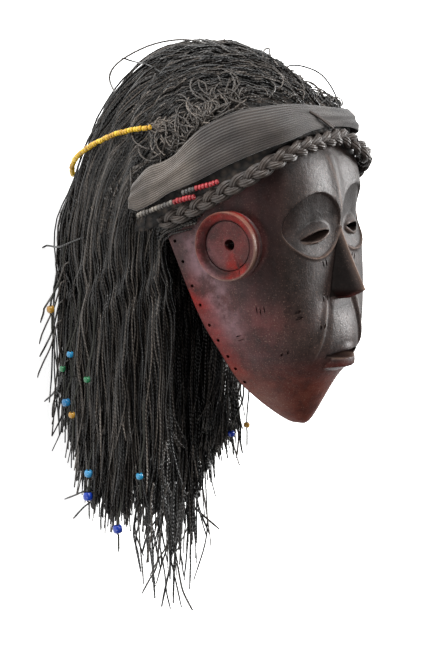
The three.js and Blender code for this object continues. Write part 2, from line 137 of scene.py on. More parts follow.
# Soft edges along the slit: above or below it, how far from it, half width, height
LID_EDGES = [(1, 1.1, 0.9, 0.7), (-1, 1.3, 0.9, 0.9), (-1, 3.3, 0.9, -0.8)]
LID_EDGES_FADE = (19, 14)
SOCKET = dict(x=31.5, y=56.3, half_wide=30, half_high=26.7, bowl=5.5, step=1.9, outer=0.72, upper=0.66)
SOCKET_WALL = 66
SOCKET_RIM = dict(high=1.1, at=1.04, half_wide=0.045, fades=(-0.1, 0.7))
NOSE = dict(bridge_y=50, bridge_z=-23.5, bridge=2.6, wing=13.2, wing_z=-26, foot_y=-8.5, foot_drop=16)
# Share of the nose's half width past which its side drops, and how steeply
NOSE_SIDE = 1.12
NOSE_DROP = 60
MOUTH = dict(y=-56.2, half_long=28, front=-15.5, bend=42, slit_long=28, slit_high=3.3, slit_up=0.6)
MOUTH_CORNER = dict(long=7, deep=14)
UPPER_LIP = dict(out=-0.6, y=5.2, bend=0.085, edge=2.2)
LOWER_LIP = dict(out=1.4, y=-5.6, bend=0.035, edge=-1.8, ledge=9.8, undercut=2.4)
# Fold from the nose wing down: its line, and its ridge and hollow as place, half width, height
FOLD = dict(x=25, y=-18, slant=0.3, low=(-66, -48), high=(2, -14))
FOLD_FORMS = [(1.5, 3.2, 1.5), (-4.5, 3.4, -1.9)]
# Radius over which a form blends into what is under it, and the depth of what isn't there
BLEND = dict(socket=0.9, lids=1.4, nose=0.9, upper_lip=1.6, lower_lip=0.7)
AWAY = -200

EAR = dict(x=77, y=41, z=-86.5, radius=29.2, ring=8, hole=4.8, hole_forward=1, hole_up=0.7)
# Ear from its hole out: share of the way to the ring's inner edge, past it times that edge's
# radius, and how far it stands out
EAR_PROFILE = [
    (0.0, -7.4), (0.0, 1.0), (0.03, 2.1), (0.2, 2.4), (0.45, 2.9), (0.7, 3.5),
    (0.9, 4.1), (0.97, 4.3), (0.985, 4.0), (1.0, 3.0), (1.008, 3.0), (1.016, 5.0),
    (1.03, 5.5), (1.1, 6.4), (1.18, 7.4), (1.26, 8.5), (1.325, 9.3), (1.35, 9.5),
    (1.37, 9.2), (1.38, 8.2), (1.377, 6.0), (1.365, 2.0), (1.34, -2.0), (1.25, -7.4),
]
# Split in the ear's lower half: a point on it, its turn, a ridge and a groove beside it
EAR_SPLIT = dict(forward=12, up=-18, turn=26, fades=(-5, -11))
EAR_SPLIT_FORMS = [(1.6, 1.3, 1.3), (-1.4, 1.2, -1.7)]
# Collar round the ear: radius and how far it stands out
COLLAR_FORWARD = 2.5
COLLAR_PROFILE = [(1, -7.4), (20.5, -7.4), (28.9, 1.4), (29.5, 2.2), (28.8, 3.4), (27.5, 4.0), (1, 3.2)]
# How far out the ears' outer side starts, and the depth behind which nothing is painted as an eye
EAR_FROM = 79
EYE_BEHIND = -60
# Corners between faces of the wood that meet at more than this many degrees stay sharp
SHARP_FROM = 38

# Wig from its tail up: height, half width, half depth, depth of its middle, shift to the left
WIG_STATIONS = [
    (-300, 80, 88, -203, 0),
    (-210, 84, 94, -202, 0),
    (-150, 86, 97, -200, 0),
    (-95, 87, 99, -199, 0),
    (-50, 88, 111, -191, 0),
    (0, 88, 127, -174, 0),
    (40, 88, 133, -163, 0),
    (63, 88, 129, -156, 0),
    (88, 88, 124, -152, 0),
    (120, 87, 124, -149, 0),
    (202, 87, 127, -150, 0),
]
WIG_FRONT_SQUARE = [(90, 3.6), (125, 4.6), (142, 5.0), (158, 2.6), (202, 2.0)]
WIG_BACK_SQUARE = 2.1
CROWN_CENTRE_Y = 60
CROWN_HIGH = 141
CURTAIN_SQUARE = 2.6

# Front edges of the curtain of cords: height, depth of the right one and of the left one
CURTAIN_EDGES = [
    (-300, -150, -178),
    (-150, -142, -172),
    (-95, -140, -170),
    (-50, -137, -168),
    (0, -140, -166),
    (20, -148, -166),
    (54, -163, -170),
]

# Ends of the cords, from the right front edge round to the left one: share of the way round,
# height of the lowest ends, and how far up from there most others end
CORD_ENDS = [
    (0, -208, 40),
    (0.06, -240, 60),
    (0.12, -236, 50),
    (0.17, -216, 30),
    (0.23, -204, 26),
    (0.29, -176, 22),
    (0.35, -150, 18),
    (0.41, -146, 18),
    (0.475, -156, 18),
    (0.54, -186, 22),
    (0.6, -222, 24),
    (0.66, -238, 28),
    (0.72, -266, 40),
    (0.79, -296, 56),
    (0.85, -297, 60),
    (0.88, -250, 40),
    (0.91, -200, 22),
    (0.955, -172, 18),
    (1, -164, 18),
]
# How steeply cords fall on the side of the crown, in degrees, by their depth
CORD_FALL = [(-300, 90), (-230, 78), (-195, 62), (-117, 27), (-40, 5)]
CORD_FALL_LOW = dict(steep=89, y=(100, 30))
CORD_RADIUS = 0.86
# Length in which a cord's strands turn once
TWIST_LENGTH = 3.4
CORD_STEP = 6.0
CORD_STEPS = 100
FREE_STEPS = 26
CORD_OFF_FLOOR = 1.0
# Sideways sway of a cord as it runs, as size and wave length, and the share of it in free cords
SWAYS = ((0.08, 45.0), (0.07, 19.0), (0.055, 9.5))
SWAY_FREE = 0.6
CORD_LEAN = 0.035
# Height below which cords count as hanging, and between which heights they come free of the wig
HANG_Y = -90
HANGS_FREE = (-60, -130)
# Locks round the wig: how many, how deep between them, how they wander, how their ends differ
LOCKS = 23
LOCK_DEPTH = 2.6
LOCK_WANDER = ((1.6, 37), (0.8, 13))
LOCK_ENDS = 5
# How much higher than their lock cords of the tail may end, in full from the second height down
TAIL_THINS = 44
TAIL_THINS_AT = (-205, -262)
# How far the last fifth of a cord bends away, sideways, up and down, and forwards
END_BEND = (6.5, 1.5, 4.5)
END_BEND_MOST = 12
# Roots: how many, angle from the front to the right, height, how far under the wig's skin, and
# the points of each cord
CROWN_ROOTS = dict(
    count=1560, angle=125, below_band=6, top=196.0, gather=1.9, out=1.0, scatter=4.5, points=44,
)
HEM_ROOTS = dict(count=1000, angle=(64, 296), y=(52.0, 86.0), under=(2, 12), points=32)
SINKS_BELOW = 16
CURLS = dict(
    count=190, near=0.8, angle=(68, 14), others=(-100, 60), over_band=(8, 4), most_y=190,
    rise=(0, 1.0, -0.4), scatter=0.55, turns=(0.06, 0.42), size=(3, 12), drift=(5, 20), lift=(1.0, 5.0),
)
# How far the knotted cap lies below the wig's skin: under the band, and under the cords
CAP_HIGH = 3.0
CAP_DEEP = 13.0
CAP_THICK = 3.0
CAP_OVER_PLAIT = 2.0
CAP_AXIS_Z = -150.0
CAP_BEHIND = (96, 118)

# Cloth band: angle from the front to the right, lower height, upper height
BAND_STATIONS = [
    (-104, 60, 90),
    (-86, 77, 108),
    (-68, 93, 124),
    (-50, 107, 134),
    (-36, 119, 140),
    (-18, 130, 146),
    (0, 134, 152),
    (18, 133, 156),
    (34, 126, 155),
    (48, 113.6, 151),
    (66, 94.5, 137.5),
    (75, 87, 125.5),
    (81, 82.5, 115),
    (88, 74.5, 108),
    (96, 67, 103),
    (104, 62, 91),
]
BAND_END = 104
BAND_NO_TOP = 78.0
BAND_CLEAR = 2.6
BAND_THICK = 1.5
BAND_CROWN = 1.7
# How much the lower and the upper edge draw in at the right end, and from which angle on
BAND_DRAWN_IN = (4, 3)
BAND_DRAWN_FROM = 98
# Soft folds: height, how fast they wave across, degrees along for a radian of their wave, start
BAND_FOLDS = ((0.55, 15, 13, 0), (0.4, 9, -7, 2))
BAND_WORN = (58, 86)
RIB_WIDTH = 1.3
THREAD_WIDTH = 1.1

# Beads
# Outline of a bead from its hole round to its hole: radius and place along the thread
BEAD_PROFILE = [
    (0.3, -0.9), (0.72, -1.0), (0.95, -0.62), (1.0, 0.0), (0.95, 0.62), (0.72, 1.0), (0.3, 0.9),
]
SEED_RADIUS = 2.6
SEED_STEP = 3.0
SEED_OFF = SEED_RADIUS + 1.4
# Seed beads of a string: radius, half length, and how far they lie off its line
YELLOW_SEEDS = dict(radius=(2.0, 2.5), half=(1.15, 1.5), scatter=0.22)
TEMPLE_SEEDS = dict(radius=(2.2, 2.6), half=(1.2, 1.5), scatter=0.15)
YELLOW_ROUTE = [
    (102, 134), (116, 130), (129, 123.5), (140, 114.5),
    (150, 105), (160, 94), (168, 84), (173, 78),
]
LOWER_TEMPLE_ROUTE = [(96.6, 62), (87.5, 68.5), (78, 75), (67, 81.5)]
UPPER_TEMPLE_ROUTE = [(72.5, 84.2), (64.5, 89.6), (56.5, 94.8)]
# Cord of a loose bead: how far it runs above and below the bead
LOOSE_CORD = (62, 20)
# Thong over the band: angle from the front to the right, height, distance off the wig
THONG_ROUTE = ((9, 149, 6.4), (5, 143.5, 8), (1, 137, 8.4), (-2, 133.5, 7.6))
THONG_RADIUS = 0.85
THONG_SPREAD = np.array([3.0, 0.6, -0.5])


# Numbers and tables


def smooth(value, low, high):
    """Cubic step from 0 at low to 1 at high."""
    t = np.clip((value - low) / (high - low), 0, 1)
    return t * t * (3 - 2 * t)


def lerp(a, b, t):
    """Straight blend from a to b."""
    return a + (b - a) * t


def bump(value, centre, width):
    """Bell of height 1 at a centre: e to the power of minus the squared distance over the width."""
    return np.exp(-(((value - centre) / width) ** 2))


def soft_max(a, b, radius):
    """Greater of two heights, blended by a parabola where they are within the radius."""
    near = np.maximum(radius - np.abs(a - b), 0) / radius
    return np.maximum(a, b) + near * near * radius / 4


def soft_min(a, b, radius):
    """Lesser of two heights, blended by a parabola where they are within the radius."""
    return -soft_max(-a, -b, radius)


def values_at(table, place):
    """Rows of a table at any places: a cubic between rows, its slope at a row that of the neighbours."""
    rows = np.asarray(table, float)
    keys, values = rows[:, 0], rows[:, 1:]
    at = np.clip(np.asarray(place, float), keys[0], keys[-1])
    row = np.searchsorted(keys[1:-1], at, side="left")
    below = np.maximum(np.arange(len(keys)) - 1, 0)
    above = np.minimum(np.arange(len(keys)) + 1, len(keys) - 1)
    slopes = (values[above] - values[below]) / (keys[above] - keys[below])[:, None]
    span = (keys[row + 1] - keys[row])[..., None]
    t = (at - keys[row])[..., None] / span
    start, rise = values[row], values[row + 1] - values[row]
    m0, m1 = slopes[row] * span, slopes[row + 1] * span
    return start + t * m0 + t**2 * (3 * rise - 2 * m0 - m1) + t**3 * (m0 + m1 - 2 * rise)


def superellipse(angle, half_width, half_depth, square):
    """Distance from the middle of a superellipse to its edge, at an angle from its front."""
    across = np.abs(np.sin(angle)) / half_width
    along = np.abs(np.cos(angle)) / half_depth
    return (across**square + along**square) ** (-1 / square)


def unit(vectors):
    """Vectors scaled to length 1."""
    return vectors / np.maximum(np.linalg.norm(vectors, axis=-1, keepdims=True), 1e-9)


def square_to(vectors, normals):
    """Vectors of length 1 square to normals: what lies along the normals is taken away."""
    return unit(vectors - (vectors * normals).sum(-1, keepdims=True) * normals)


def round_angles(count):
    """Even angles of one whole turn."""
    return 2 * np.pi * np.arange(count) / count


def length_along(line):
    """Length along a line of points, from 0 at the first."""
    return np.concatenate([[0], np.linalg.norm(np.diff(line, axis=0), axis=-1).cumsum()])


def through(knots, count):
    """Places on the smooth line through knots, as many from each to the next."""
    table = [(k, *row) for k, row in enumerate(knots)]
    return values_at(table, np.linspace(0, len(knots) - 1, count))


def keep_off_floor(points):
    """Points no nearer to the floor than a cord's radius, changed in place."""
    points[..., 2] = np.maximum(points[..., 2], CORD_OFF_FLOOR - NOSE_TIP[2])
    return points


# Meshes


def linked(name, data):
    """New object in the scene."""
    made = bpy.data.objects.new(name, data)
    bpy.context.scene.collection.objects.link(made)
    return made


def new_piece(name, points, faces, finish, slot, uv=None):
    """Object at the origin from points in millimetres and arrays of faces; it rides on the root."""
    mesh = bpy.data.meshes.new(name)
    corners = np.concatenate([f.ravel() for f in faces]).astype(np.int32)
    sizes = np.concatenate([np.full(len(f), f.shape[1]) for f in faces])
    starts = np.concatenate([[0], np.cumsum(sizes)[:-1]]).astype(np.int32)
    mesh.vertices.add(len(points))
    mesh.vertices.foreach_set("co", ((points + NOSE_TIP) * MILLIMETRE).astype(np.float32).ravel())
    mesh.loops.add(len(corners))
    mesh.loops.foreach_set("vertex_index", corners)
    mesh.polygons.add(len(sizes))
    mesh.polygons.foreach_set("loop_start", starts)
    mesh.polygons.foreach_set("use_smooth", np.ones(len(sizes), bool))
    if uv is not None:
        layer = mesh.uv_layers.new(name="along_and_round")
        layer.data.foreach_set("uv", uv.astype(np.float32).ravel())
    mesh.update(calc_edges=True)
    piece = linked(name, mesh)
    mesh.materials.append(finish)
    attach(piece, "root")
    return piece


def give_values(piece, name, values):
    """One number for each point, which the finish reads by name."""
    layer = piece.data.attributes.new(name, "FLOAT", "POINT")
    layer.data.foreach_set("value", np.asarray(values, np.float32).ravel())


def points_of(piece):
    """Points of a finished mesh in millimetres from the tip of the nose."""
    flat = np.zeros(len(piece.data.vertices) * 3, np.float32)
    piece.data.vertices.foreach_get("co", flat)
    return flat.reshape(-1, 3) / MILLIMETRE - NOSE_TIP


def quads(index):
    """Corners of each cell of a grid of point numbers."""
    corners = [index[..., :-1, :-1], index[..., :-1, 1:], index[..., 1:, 1:], index[..., 1:, :-1]]
    return np.stack(corners, -1).reshape(-1, 4)


def ring_faces(rows, columns, first=0):
    """Quads between rows of points that go round, numbered from a first one."""
    index = first + np.arange(rows * columns).reshape(rows, columns)
    return quads(np.concatenate([index, index[:, :1]], axis=1))


def corner_uv(u, v):
    """Pattern coordinates at the corners of each cell of a grid."""
    u, v = np.broadcast_arrays(u, v)
    cells = quads(np.arange(u.size).reshape(u.shape))
    return np.stack([u.ravel()[cells], v.ravel()[cells]], -1).reshape(-1, 2)


def fan_faces(ring, middle, flip=False):
    """Triangles from a ring of point numbers to one middle point."""
    after = np.roll(ring, -1)
    pair = (after, ring) if flip else (ring, after)
    return np.stack([*pair, np.full(len(ring), middle)], -1)


def loft(rings):
    """Closed skin over rings of points, its first and last ring closed by fans."""
    rows, columns = rings.shape[:2]
    points = np.concatenate([rings.reshape(-1, 3), rings[[0, -1]].mean(axis=1)])
    last = rows * columns
    return points, [
        ring_faces(rows, columns),
        fan_faces(np.arange(columns), last, True),
        fan_faces(np.arange(columns) + last - columns, last + 1),
    ]


def frames_along(paths, hint):
    """Two normals along many paths, square to them: the first is carried on from point to point."""
    ahead = np.concatenate([paths[:, 1:], 2 * paths[:, -1:] - paths[:, -2:-1]], axis=1)
    back = np.concatenate([2 * paths[:, :1] - paths[:, 1:2], paths[:, :-1]], axis=1)
    tangents = unit(ahead - back)
    normals = np.empty_like(paths)
    carried = hint
    for step in range(paths.shape[1]):
        carried = square_to(carried, tangents[:, step])
        normals[:, step] = carried
    return normals, np.cross(tangents, normals)


def tubes(paths, radii, sides, hint, flat=1.0):
    """Closed tubes along many paths: at each point a ring of the radius there, ends closed.

    Flat draws the rings in, or out, on their second axis.
    """
    count, steps = paths.shape[:2]
    normals, sideways = frames_along(paths, hint)
    turn = round_angles(sides)[:, None]
    ring = np.cos(turn) * normals[:, :, None] + flat * np.sin(turn) * sideways[:, :, None]
    points = paths[:, :, None] + radii[:, :, None, None] * ring
    index = np.arange(count * steps * sides).reshape(count, steps, sides)
    walls = quads(np.concatenate([index, index[..., :1]], axis=-1))
    ends = np.concatenate([index[:, 0, ::-1], index[:, -1]])
    length = np.linalg.norm(np.diff(paths, axis=1), axis=-1).cumsum(axis=1)
    length = np.concatenate([np.zeros((count, 1)), length], axis=1)
    uv = corner_uv(np.arange(sides + 1) / sides, length[:, :, None])
    return points.reshape(-1, 3), [walls, ends], np.concatenate([uv, np.zeros((ends.size, 2))])


# Surfaces that everything is set on


def plait_height(z):
    """Height of the plait where the surface under it has this depth."""
    return values_at(PLAIT_LINE, z)[..., 0]


def plait_sag(x, z):
    """How much lower the plait hangs over the left temple."""
    return PLAIT_LEFT_SAG["deep"] * smooth(x, *PLAIT_LEFT_SAG["x"]) * smooth(z, *PLAIT_LEFT_SAG["z"])


def relief(x, y):
    """Muzzle, keel of the forehead and furrows beside the mouth, added to the plain front."""
    muzzle = MUZZLE["high"] * bump(x, 0, MUZZLE["half_wide"]) * bump(y, MUZZLE["y"], MUZZLE["half_high"])
    keel = KEEL["high"] * bump(x, 0, KEEL["half_wide"]) * smooth(y, *KEEL["fades"])
    return muzzle + keel


def face_point(angle, y, shrink=0):
    """Face at an angle round its middle and a height: a superellipse from rim to front, plus relief."""
    angle, y = np.broadcast_arrays(np.asarray(angle, float), np.asarray(y, float))
    half_width, rim, front, square = np.moveaxis(values_at(FACE_STATIONS, y), -1, 0)
    close = np.sqrt(smooth(y, INNER_CHIN_Y, INNER_CHIN_Y + CHIN_ROUNDING)) if shrink else 1
    wide = np.maximum((half_width - shrink * WALL_SIDE) * close, 0.5)
    deep = np.maximum((front - rim - shrink * WALL_FRONT) * close, 0.5)
    reach = superellipse(angle, wide, deep, square)
    x = reach * np.sin(angle)
    z = rim + reach * np.cos(angle)
    if not shrink:
        z = z + relief(x, y) * np.cos(angle) ** 2
    return np.stack([x, y, z], -1)


def wig_reach(angle, y):
    """Distance from the wig's middle to its skin at an angle and height, before the crown closes."""
    half_width, half_depth, middle, shift = np.moveaxis(values_at(WIG_STATIONS, y), -1, 0)
    front = values_at(WIG_FRONT_SQUARE, y)[..., 0]
    square = lerp(WIG_BACK_SQUARE, front, smooth(np.cos(angle), -0.1, 0.1))
    return superellipse(angle, half_width, half_depth, square), middle, shift


def wig_point(angle, y, off=0.0):
    """Wig at an angle from the front to the right and a height, some way off its skin."""
    angle, y = np.broadcast_arrays(np.asarray(angle, float), np.asarray(y, float))
    reach, middle, shift = wig_reach(angle, y)
    rise = np.maximum(y - CROWN_CENTRE_Y, 0) / CROWN_HIGH
    kept = reach * np.sqrt(np.maximum(1 - rise * rise, 0)) + off
    z = np.maximum(middle + kept * np.cos(angle), -NOSE_TIP[2])
    return np.stack([shift - kept * np.sin(angle), y, z], -1)


def wig_level(p):
    """1 on the wig's skin, less inside: the share of the reach, joined with the rise over the crown."""
    half = values_at(WIG_STATIONS, p[..., 1])
    middle, shift = half[..., 2], half[..., 3]
    dx, dz = shift - p[..., 0], p[..., 2] - middle
    reach = wig_reach(np.arctan2(dx, dz), p[..., 1])[0]
    rise = np.maximum(p[..., 1] - CROWN_CENTRE_Y, 0) / CROWN_HIGH
    return np.sqrt((dx**2 + dz**2) / reach**2 + rise**2)


def wig_slope(p):
    """Gradient of the wig's level, from differences over half a millimetre."""
    steps = 0.5 * np.eye(3)
    return np.stack([wig_level(p + s) - wig_level(p - s) for s in steps], -1)


def settle(p, off, turns=1):
    """Points moved along the gradient to a distance off the wig's skin."""
    for _ in range(turns):
        slope = wig_slope(p)
        size = np.linalg.norm(slope, axis=-1, keepdims=True)
        missing = wig_level(p)[..., None] - 1 - off[..., None] * size
        p = p - missing * slope / np.maximum(size, 1e-6) ** 2
    return p


def edge_angle(depth, y):
    """Angle from the front at which the wig's skin has a given depth, on its right side."""
    half_width, half_depth, middle, _ = np.moveaxis(values_at(WIG_STATIONS, y), -1, 0)
    along = np.clip((depth - middle) / half_depth, -0.95, 0.95)
    across = half_width * (1 - np.abs(along) ** CURTAIN_SQUARE) ** (1 / CURTAIN_SQUARE)
    return np.arctan2(across, depth - middle)


def behind_edges(p):
    """Points below the cap turned back round the wig, behind the front edges of its curtain."""
    half = values_at(WIG_STATIONS, p[:, 1])
    edges = values_at(CURTAIN_EDGES, p[:, 1])
    dx, dz = half[:, 3] - p[:, 0], p[:, 2] - half[:, 2]
    angle = np.arctan2(dx, dz)
    least = edge_angle(np.where(angle > 0, edges[:, 0], edges[:, 1]), p[:, 1])
    kept = np.sign(angle) * np.maximum(np.abs(angle), least)
    ratio = np.hypot(dx, dz) / wig_reach(angle, p[:, 1])[0] * wig_reach(kept, p[:, 1])[0]
    moved = np.stack([half[:, 3] - ratio * np.sin(kept), p[:, 1], half[:, 2] + ratio * np.cos(kept)], -1)
    return lerp(p, moved, 0.5 * smooth(p[:, 1:2], 75, 45))


def follow_plait(surface, angle, above, sags=False):
    """Height of a line that follows the plait over a surface, found by repeated correction."""
    y = np.full(np.shape(angle), 90.0)
    for _ in range(12):
        p = surface(angle, y)
        sag = plait_sag(p[..., 0], p[..., 2]) if sags else 0
        y = lerp(y, plait_height(p[..., 2]) + above - sag, 0.7)
    return y


# Finishes


class Finish:
    """A material with one shader, and short calls to add nodes to it."""

    def __init__(self, name, **constants):
        """New material, with constants on the sockets of its shader."""
        self.material = bpy.data.materials.new(name)
        self.material.use_nodes = True
        self.tree = self.material.node_tree
        self.shader = self.tree.nodes["Principled BSDF"]
        for socket, value in constants.items():
            self.shader.inputs[socket.replace("_", " ")].default_value = value
        self.place = self.add("ShaderNodeTexCoord").outputs["Object"]

    def feed(self, socket, value):
        """Socket linked to another one, or given a constant."""
        if isinstance(value, bpy.types.NodeSocket):
            self.tree.links.new(value, socket)
        else:
            socket.default_value = value

    def add(self, kind, inputs=(), **settings):
        """Node with its settings, and with links or constants on its sockets."""
        node = self.tree.nodes.new(kind)
        for key, value in settings.items():
            setattr(node, key, value)
        for key, value in dict(inputs).items():
            self.feed(node.inputs[key], value)
        return node

    def value(self, name):
        """A number that the piece carries at its points."""
        return self.add("ShaderNodeAttribute", attribute_name=name).outputs["Fac"]

    def noise(self, scale, detail, rough, stretch=None):
        """Cloudy pattern on the piece's own measures, 0 to 1, drawn out where it is stretched."""
        place = self.place
        if stretch is not None:
            place = self.add("ShaderNodeMapping", {"Vector": place, "Scale": stretch}).outputs[0]
        inputs = {"Vector": place, "Scale": scale, "Detail": detail, "Roughness": rough}
        return self.add("ShaderNodeTexNoise", inputs).outputs["Fac"]

    def spread(self, source, low, high, start=0.0, end=1.0):
        """Source from low to high made to run from start to end."""
        inputs = {"Value": source, "From Min": low, "From Max": high, "To Min": start, "To Max": end}
        return self.add("ShaderNodeMapRange", inputs).outputs[0]

    def calc(self, kind, a, b=0.0):
        """Sum, product or other reckoning of one or two values."""
        return self.add("ShaderNodeMath", {0: a, 1: b}, operation=kind).outputs[0]

    def mix(self, share, a, b):
        """Colour a blended to b by a share."""
        node = self.add("ShaderNodeMix", data_type="RGBA")
        for name, value in (("Factor", share), ("A", a), ("B", b)):
            self.feed(next(s for s in node.inputs if s.name == name and s.enabled), value)
        return next(s for s in node.outputs if s.enabled)

    def own_map(self):
        """The map that a piece carries, and its two measures, along and round or across it."""
        uv = self.add("ShaderNodeUVMap", uv_map="along_and_round").outputs[0]
        return uv, *self.add("ShaderNodeSeparateXYZ", {0: uv}).outputs[:2]

    def set(self, socket, source):
        """Socket of the shader fed by a pattern."""
        self.tree.links.new(source, self.shader.inputs[socket])

    def relief(self, height, distance, strength=1.0, under=None):
        """Fine relief in the finish, over another one if there is one under it."""
        inputs = {"Height": height, "Distance": distance, "Strength": strength}
        if under is not None:
            inputs["Normal"] = under
        return self.add("ShaderNodeBump", inputs).outputs[0]


def rgb(red, green, blue):
    """Colour given as it shows on screen, 0 to 255, for a shader's linear socket."""
    share = np.array([red, green, blue]) / 255
    linear = np.where(share <= 0.04045, share / 12.92, ((share + 0.055) / 1.055) ** 2.4)
    return (*linear.tolist(), 1.0)


def wood_finish():
    """Dark oiled wood, grey brown in front, red ochre rubbed into rim, jaw and ears, edges lighter by
    wear and painted highlight, painted shade in hollows and creases, a painted pale sheen on the sides.
    """
    f = Finish("carved_wood")
    broad = f.noise(13, 4, 0.6)
    cloud = f.noise(34, 4, 0.65)
    grain = f.noise(90, 5, 0.65, stretch=(1.0, 0.16, 1.0))
    speck = f.noise(880, 2, 0.6)
    crumb = f.noise(700, 2, 0.5)
    front = f.mix(f.spread(grain, 0.32, 0.68), rgb(18, 12, 10), rgb(46, 36, 32))
    front = f.mix(f.spread(cloud, 0.42, 0.66, 0.0, 0.75), front, rgb(62, 52, 49))
    front = f.mix(f.spread(broad, 0.42, 0.62, 0.0, 0.5), front, rgb(22, 13, 11))
    side = f.mix(f.spread(grain, 0.3, 0.7), rgb(34, 9, 8), rgb(70, 27, 26))
    side = f.mix(f.spread(cloud, 0.46, 0.64, 0.0, 0.5), side, rgb(80, 46, 48))
    side = f.mix(f.spread(broad, 0.4, 0.6, 0.0, 0.6), side, rgb(26, 9, 8))
    # Painted sheen: a pale lilac-grey reflection painted onto the sides near the rim
    painted_sheen_share = f.calc("MULTIPLY", f.value("painted_sheen"), f.spread(cloud, 0.42, 0.58, 0.1, 1.0))
    side = f.mix(painted_sheen_share, side, rgb(138, 108, 116))
    colour = f.mix(f.value("frontness"), side, front)
    red = f.mix(f.spread(cloud, 0.38, 0.66), rgb(50, 6, 4), rgb(132, 20, 9))
    ochre = f.calc("MULTIPLY", f.value("ochre"), f.spread(broad, 0.34, 0.6, 0.3, 1.0))
    colour = f.mix(ochre, colour, red)
    tan = f.calc("MULTIPLY", f.value("chin"), f.spread(cloud, 0.36, 0.62, 0.25, 0.9))
    colour = f.mix(tan, colour, rgb(82, 46, 34))
    colour = f.mix(f.spread(speck, 0.6, 0.7, 0.0, 0.45), colour, rgb(124, 98, 86))
    colour = f.mix(f.spread(f.noise(230, 3, 0.6), 0.6, 0.68, 0.0, 0.4), colour, rgb(12, 7, 6))
    # Edges lighter by wear and by a painted highlight along ridges and rims
    highlight_and_wear = f.calc("MULTIPLY", f.value("highlight_and_wear"), f.spread(grain, 0.3, 0.6, 0.4, 1.0))
    colour = f.mix(highlight_and_wear, colour, rgb(128, 104, 90))
    # Painted shade in hollows, creases and recesses, and darker wood beside the ears and on the brow
    colour = f.mix(f.value("shade_and_darkening"), colour, rgb(8, 5, 4))
    f.set("Base Color", colour)
    rough = f.calc("ADD", f.calc("MULTIPLY", broad, 0.5), f.calc("MULTIPLY", crumb, 0.5))
    f.set("Roughness", f.spread(rough, 0.35, 0.65, 0.38, 0.6))
    dull = f.calc("MAXIMUM", ochre, f.value("shade_and_darkening"))
    f.set("Specular IOR Level", f.spread(dull, 0, 1, 0.24, 0.08))
    adze = f.relief(f.noise(150, 5, 0.7), 0.0011, 0.5)
    rough_skin = f.relief(crumb, 0.0004, 0.4, adze)
    f.set("Normal", f.relief(grain, 0.0008, 0.5, rough_skin))
    return f.material


def cord_finish():
    """Dry blackened fibre: twisted strands as slanting stripes round the cord, tone by cord."""
    f = Finish("fibre_cord", Roughness=0.36, Specular_IOR_Level=0.42)
    _, round_it, along = f.own_map()
    turns = f.calc("ADD", round_it, f.calc("DIVIDE", along, TWIST_LENGTH))
    twist = f.calc("SINE", f.calc("MULTIPLY", turns, 2 * math.pi))
    tone = f.value("tone")
    dark = f.mix(tone, rgb(2, 2, 2), rgb(24, 20, 18))
    light = f.mix(tone, rgb(6, 5, 5), rgb(124, 114, 105))
    f.set("Base Color", f.mix(f.spread(twist, -1, 1, 0.3, 0.75), dark, light))
    f.set("Normal", f.relief(twist, 0.0003, 0.8))
    return f.material


def cap_finish():
    """Knotted net of dark cord, as a woven pattern on the cap's own measures."""
    f = Finish("knotted_net", Roughness=0.8, Specular_IOR_Level=0.3)
    cells = f.add("ShaderNodeTexVoronoi", {"Vector": f.place, "Scale": 160.0}).outputs["Distance"]
    f.set("Base Color", f.mix(f.spread(cells, 0.1, 0.6), rgb(52, 44, 38), rgb(12, 10, 9)))
    f.set("Normal", f.relief(cells, 0.002, 0.9))
    return f.material


def cloth_finish():
    """Finely ribbed worn cloth: ribs along the band, crossed by threads, lighter where rubbed."""
    f = Finish("headband_cloth", Roughness=0.88, Specular_IOR_Level=0.25, Sheen_Weight=0.25)
    _, along, across = f.own_map()
    rib = f.calc("SINE", f.calc("MULTIPLY", across, 2 * math.pi / RIB_WIDTH))
    thread = f.calc("SINE", f.calc("MULTIPLY", along, 2 * math.pi / THREAD_WIDTH))
    broad = f.noise(30, 4, 0.6)
    fuzz = f.noise(700, 3, 0.7)
    dull = f.mix(f.spread(broad, 0.34, 0.66), rgb(34, 29, 27), rgb(60, 53, 48))
    worn = f.mix(f.spread(broad, 0.34, 0.66), rgb(66, 59, 54), rgb(100, 91, 83))
    rubbed = f.calc("ADD", f.value("worn"), f.spread(broad, 0, 1, -0.3, 0.3))
    base = f.mix(f.spread(rubbed, 0.2, 0.8), dull, worn)
    weave = f.calc("ADD", f.calc("MULTIPLY", thread, 0.4), rib)
    shade = f.calc("ADD", f.spread(weave, -1.4, 1.4, 0.15, 0.75), f.calc("MULTIPLY", fuzz, 0.45))
    f.set("Base Color", f.mix(shade, rgb(20, 17, 16), base))
    f.set("Normal", f.relief(weave, 0.0004, 0.6, f.relief(fuzz, 0.0006, 0.6)))
    return f.material


def plait_finish():
    """Brown greasy fibre of the plait: fine fibres along each strand, with a painted highlight on the
    outward crests.
    """
    f = Finish("fibre_plait", Roughness=0.5, Specular_IOR_Level=0.5)
    own_map, _, _ = f.own_map()
    place = f.add("ShaderNodeMapping", {"Vector": own_map, "Scale": (5.0, 0.12, 1.0)}).outputs[0]
    fibre = f.add("ShaderNodeTexNoise", {"Vector": place, "Scale": 1.0, "Detail": 3.0}).outputs["Fac"]
    broad = f.noise(45, 4, 0.6)
    dark = f.mix(broad, rgb(10, 7, 6), rgb(27, 19, 15))
    light = f.mix(broad, rgb(33, 25, 22), rgb(74, 62, 53))
    # Painted highlight on the crests, where strands and their cords face outward
    share = f.calc("MULTIPLY", f.value("crest_highlight"), f.spread(fibre, 0.3, 0.7, 0.15, 1.0))
    f.set("Base Color", f.mix(share, dark, light))
    f.set("Normal", f.relief(fibre, 0.0008, 0.9))
    return f.material


